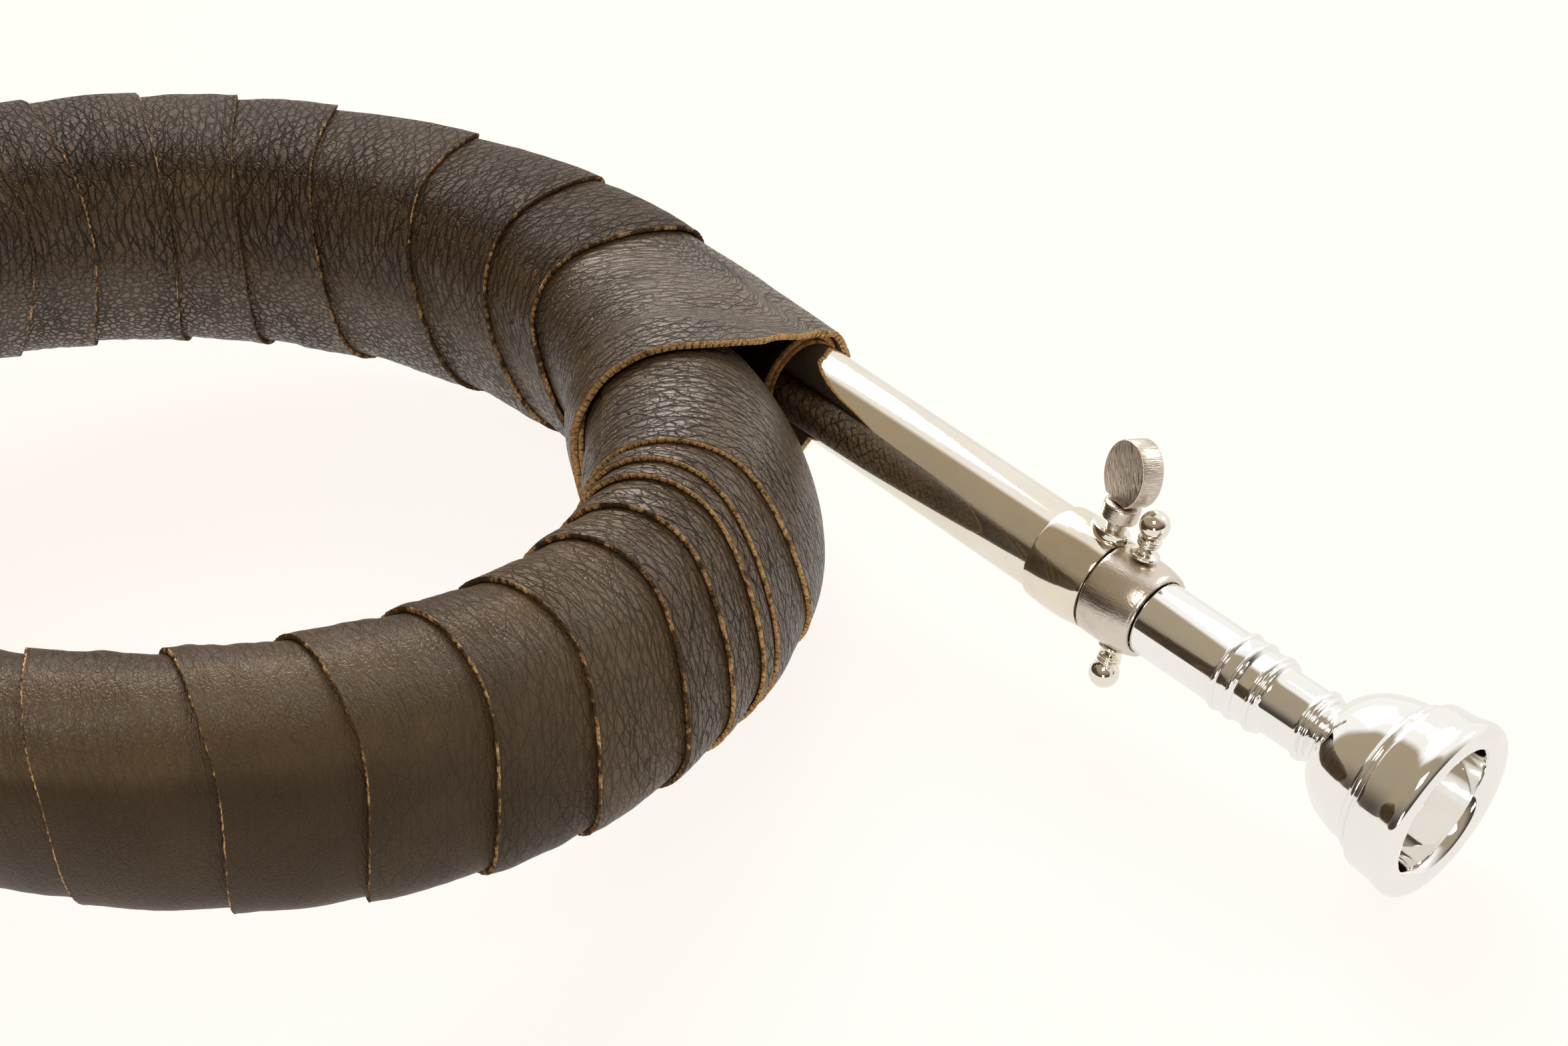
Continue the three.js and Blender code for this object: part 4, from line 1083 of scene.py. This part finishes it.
def make_mouthpiece():
    outside = [(4.6, 88), (4.9, 109.05), (5.35, 109.1), (5.46, 109.25), (5.46, 122.5)]
    outside += arc((5.5, 123.3), 0.45, -80, 80, 6)
    outside += [(5.62, 123.9), (5.66, 125.2)]
    outside += arc((5.5, 125.8), 0.42, -70, 75, 6)
    outside += [(5.3, 126.5), (5.42, 126.8), (5.46, 128.4)]
    outside += arc((5.38, 128.95), 0.42, -70, 75, 6)
    outside += arc((5.2, 129.75), 0.34, -70, 80, 5)
    outside += flowing([(4.98, 130.3), (4.84, 130.8), (4.8, 132.5), (4.8, 136.0), (4.86, 136.3)], 4)
    outside += arc((4.8, 136.9), 0.5, -75, 75, 7)
    outside += arc((4.5, 137.85), 0.36, -70, 70, 5)
    outside += flowing([(4.2, 138.3), (3.85, 138.75), (3.85, 139.1), (4.3, 139.45), (5.3, 139.75),
                        (6.6, 140.4), (7.9, 141.7), (9.0, 143.3), (9.8, 145.2), (10.35, 147.2),
                        (10.55, 149.0)], 5)
    outside += arc((10.72, 149.85), 0.5, -60, 65, 6)
    outside += flowing([(10.95, 150.55), (11.5, 150.95), (12.1, 151.1), (12.32, 151.5), (12.42, 152.5),
                        (12.58, 154.5), (12.8, 155.6), (13.02, 156.4), (13.1, 157.0), (12.95, 157.7),
                        (12.5, 158.2), (11.8, 158.46), (11.1, 158.5), (10.3, 158.36), (9.7, 158.05),
                        (9.3, 157.5), (9.1, 156.8)], 5)
    inside = flowing([(9.05, 156.2), (8.85, 154.6), (8.45, 152.9), (7.7, 150.7), (6.5, 148.6), (4.6, 146.8),
                      (3.0, 145.7), (2.1, 144.6), (1.9, 143.5), (1.9, 138.5)], 5)
    cup = turned_piece("cup_mouthpiece", outside + inside + [(3.9, 88)], PIPE, 128, 0)
    finish_with(cup, SILVER_PLATE, "mouthpiece", "silver_plate", "mouthpiece")


# Bell and coil tubes

BELL = local_frame(BELL_START, BELL_AXIS, Vector((0, 0, 1)))


def beside_bell(along, lift):
    slope = BELL_GROWTH * bell_radius(along) / (BELL_LENGTH + BELL_OPENING - along)
    lean = math.hypot(1, slope)
    return bell_radius(along) + lift / lean, along - lift * slope / lean


def make_bell():
    start = FLARE_START + FLARE_GAP
    stops = [lerp(start, BELL_LENGTH, (k / 40) ** 0.8) for k in range(41)]
    outside = [beside_bell(along, 0) for along in stops]
    inside = [beside_bell(along, -BELL_WALL) for along in reversed(stops)]
    inside[-1] = (inside[-1][0], start)
    flare = turned_piece("bell", outside + inside, BELL, 144, 0)
    finish_with(flare, YELLOW_BRASS, "horn", "brass", "bell_flare")

    stops = [BELL_LENGTH - BAND_WIDTH + BAND_WIDTH * k / 14 for k in range(15)]
    lift = 0.45
    face = [beside_bell(along, lift + 0.5) for along in stops[2:]]
    back = [beside_bell(along, lift) for along in reversed(stops)]
    bead = [beside_bell(stops[0] + 0.1, lift + 0.35), beside_bell(stops[0] + 0.45, lift + 0.75),
            beside_bell(stops[0] + 0.9, lift + 0.78), beside_bell(stops[0] + 1.3, lift + 0.5)]
    garland = turned_piece("bell_band", bead + face + back, BELL, 144, 0)
    finish_with(garland, NICKEL_SILVER, "horn", "nickel_silver", "bell_garland")

    middle = (BELL_MOUTH, BELL_LENGTH + BELL_WALL + GAP + RIM_WIRE)
    wire = turned_piece("bell_rim", arc(middle, RIM_WIRE, 0, 337.5, 15), BELL, 144, 0)
    finish_with(wire, NICKEL_SILVER, "horn", "nickel_silver", "bell_rim_wire")

    skin = [max(bell_radius(along), COIL_END) + GAP for along in (101, 105.7, 110.3, 115)]
    ferrule = turned_piece("bell_joint", [
        (skin[0], 101), (skin[0] + 0.65, 101), (skin[0] + 0.7, 101.8), (skin[0] + 0.45, 102.2),
        (skin[1] + 0.5, 105.7), (skin[2] + 0.5, 110.3), (skin[3] + 0.42, 113.7), (skin[3] + 0.75, 114.1),
        (skin[3] + 0.8, 114.8), (skin[3] + 0.6, 115), (skin[3], 115), (skin[2], 110.3), (skin[1], 105.7),
    ], BELL, 112, 0.12)
    finish_with(ferrule, NICKEL_SILVER, "horn", "nickel_silver", "bell_ferrule")


def make_bell_branch():
    """The third coil tube, bent round under the leather and drawn out to the bell"""
    path = []
    for k in range(121):
        along = lerp(SECOND_JOINT, COIL_ARC, k / 120)
        turns = int(along // TURN)
        angle = MOUTHPIPE_ANGLE + along
        x, y, _ = lanes_at(angle)[turns]
        path.append((RING @ ring_point(angle, x, y), tube_radius(along)))
    for k in range(1, 25):
        along = (FLARE_START - FLARE_GAP) * k / 24
        path.append((BELL_START + BELL_AXIS * along, max(bell_radius(along), COIL_END)))
    curve = bpy.data.curves.new("bell_branch", "CURVE")
    curve.dimensions = "3D"
    curve.bevel_depth = MM
    curve.bevel_resolution = 10
    curve.use_fill_caps = True
    spline = curve.splines.new("POLY")
    spline.points.add(len(path) - 1)
    for point, (at, radius) in zip(spline.points, path):
        point.co = (*(at * MM), 1)
        point.radius = radius
    activate(new_object("bell_branch", curve))
    bpy.ops.object.convert(target="MESH")
    branch = bpy.context.active_object
    edit_all()
    bpy.ops.mesh.remove_doubles(threshold=1e-6)
    close_outward()
    shade()
    finish_with(branch, YELLOW_BRASS, "horn", "brass", "third_coil_tube")


def dress_hidden_nodes():
    """Pieces under the leather keep their solids and get their metal"""
    brass = ("first_coil_tube", "second_coil_tube",
             "left_coil_brace", "near_coil_brace", "right_coil_brace")
    for name in brass + ("first_coil_ferrule", "second_coil_ferrule"):
        solid = bpy.data.objects[name]
        solid.data.materials.clear()
        solid.data.materials.append(YELLOW_BRASS if name in brass else NICKEL_SILVER)


# Table, light and camera

def make_table():
    """White table: the camera sees it bright, with a faint shadow, and the horn gets its plain light"""
    deselect()
    bpy.ops.mesh.primitive_plane_add(size=8)
    table = bpy.context.active_object
    table.name = "table"
    table.data.name = "table"
    material, tree = new_material("white table")
    tree.nodes.remove(tree.nodes["Principled BSDF"])
    across = dot_with(tree, object_place(tree), (0.78, -0.62, 0))
    tint = blend_color(tree, ramp(tree, across, -0.25, 0.12), (0.95, 0.855, 0.79), (0.94, 0.895, 0.85))
    seen = node(tree, "ShaderNodeEmission", {"Color": tint}).outputs[0]
    shadow = node(tree, "ShaderNodeBsdfDiffuse", {"Color": (0.10, 0.10, 0.095)}).outputs[0]
    both = node(tree, "ShaderNodeAddShader", {0: seen, 1: shadow}).outputs[0]
    plain = node(tree, "ShaderNodeEmission", {"Color": (0.93, 0.90, 0.85)}).outputs[0]
    to_camera = node(tree, "ShaderNodeLightPath").outputs["Is Camera Ray"]
    mix = node(tree, "ShaderNodeMixShader", {0: to_camera, 1: plain, 2: both}).outputs[0]
    feed(tree, tree.nodes["Material Output"].inputs["Surface"], mix)
    table.data.materials.append(material)


def make_light():
    """Light from behind the horn; the side that the camera stands on is dark"""
    world = bpy.data.worlds.new("studio")
    bpy.context.scene.world = world
    world.use_nodes = True
    tree = world.node_tree
    way = node(tree, "ShaderNodeTexCoord").outputs["Generated"]
    height = node(tree, "ShaderNodeSeparateXYZ", {0: way}).outputs["Z"]
    open_share = ramp(tree, dot_with(tree, way, (0.9, 0.2, -0.35)), -0.30, -0.12)
    open_side = blend_color(tree, open_share, (0.40, 0.325, 0.225), (1, 0.985, 0.95))
    camera_side = blend_color(tree, ramp(tree, height, 0.10, 0.62), (0.06, 0.052, 0.045), (0.37, 0.31, 0.23))
    turned = ramp(tree, dot_with(tree, way, (0.63, 0.777, 0)), -0.45, 0.2)
    glossy = blend_color(tree, turned, camera_side, open_side)
    soft = blend_color(tree, turned, (0.02, 0.016, 0.012), (0.62, 0.60, 0.56))
    to_soft = node(tree, "ShaderNodeLightPath").outputs["Is Diffuse Ray"]
    background = tree.nodes["Background"]
    feed(tree, background.inputs["Color"], blend_color(tree, to_soft, glossy, soft))
    background.inputs["Strength"].default_value = 1.0
    for name, at, size, power in (("back softbox", (0.64, 0.78, 0.86), 0.8, 15.0),
                                  ("small side softbox", (1.2, -0.35, 0.75), 0.45, 2.5),
                                  ("overhead softbox", (-0.32, -0.40, 0.97), 0.34, 2.6),
                                  ("low front softbox", (-0.62, -0.76, 0.16), 0.22, 1.2)):
        lamp = bpy.data.lights.new(name, "AREA")
        lamp.energy = power
        lamp.size = size
        lamp.color = (1, 0.975, 0.94)
        holder = new_object(name, lamp)
        holder.location = at
        holder.rotation_euler = Vector(at).to_track_quat("Z", "Y").to_euler()


def make_camera():
    """The photograph's viewpoint, given in the frame of the flat ring"""
    elevation = 32.17 * DEGREE
    roll = -6.02 * DEGREE
    eye = Vector((84.886, -352.677, 221.190))
    right = Vector((1, 0, 0))
    up = Vector((0, math.sin(elevation), math.cos(elevation)))
    back = Vector((0, -math.cos(elevation), math.sin(elevation)))
    across = right * math.cos(roll) - up * math.sin(roll)
    upward = right * math.sin(roll) + up * math.cos(roll)
    looking = RING.to_3x3() @ Matrix((across, upward, back)).transposed()
    camera = bpy.data.cameras.new("camera")
    camera.sensor_width = 36
    camera.lens = 68.9
    camera.clip_start = 0.01
    holder = new_object("camera", camera)
    holder.matrix_world = Matrix.Translation(RING @ eye * MM) @ looking.to_4x4()
    bpy.context.scene.camera = holder


make_camera()
make_leather()
make_mouthpipe()
make_boss()
make_thumb_screw()
make_posts()
make_mouthpiece()
make_bell()
make_bell_branch()
dress_hidden_nodes()
make_table()
make_light()
bpy.context.scene.view_settings.view_transform = "Standard"
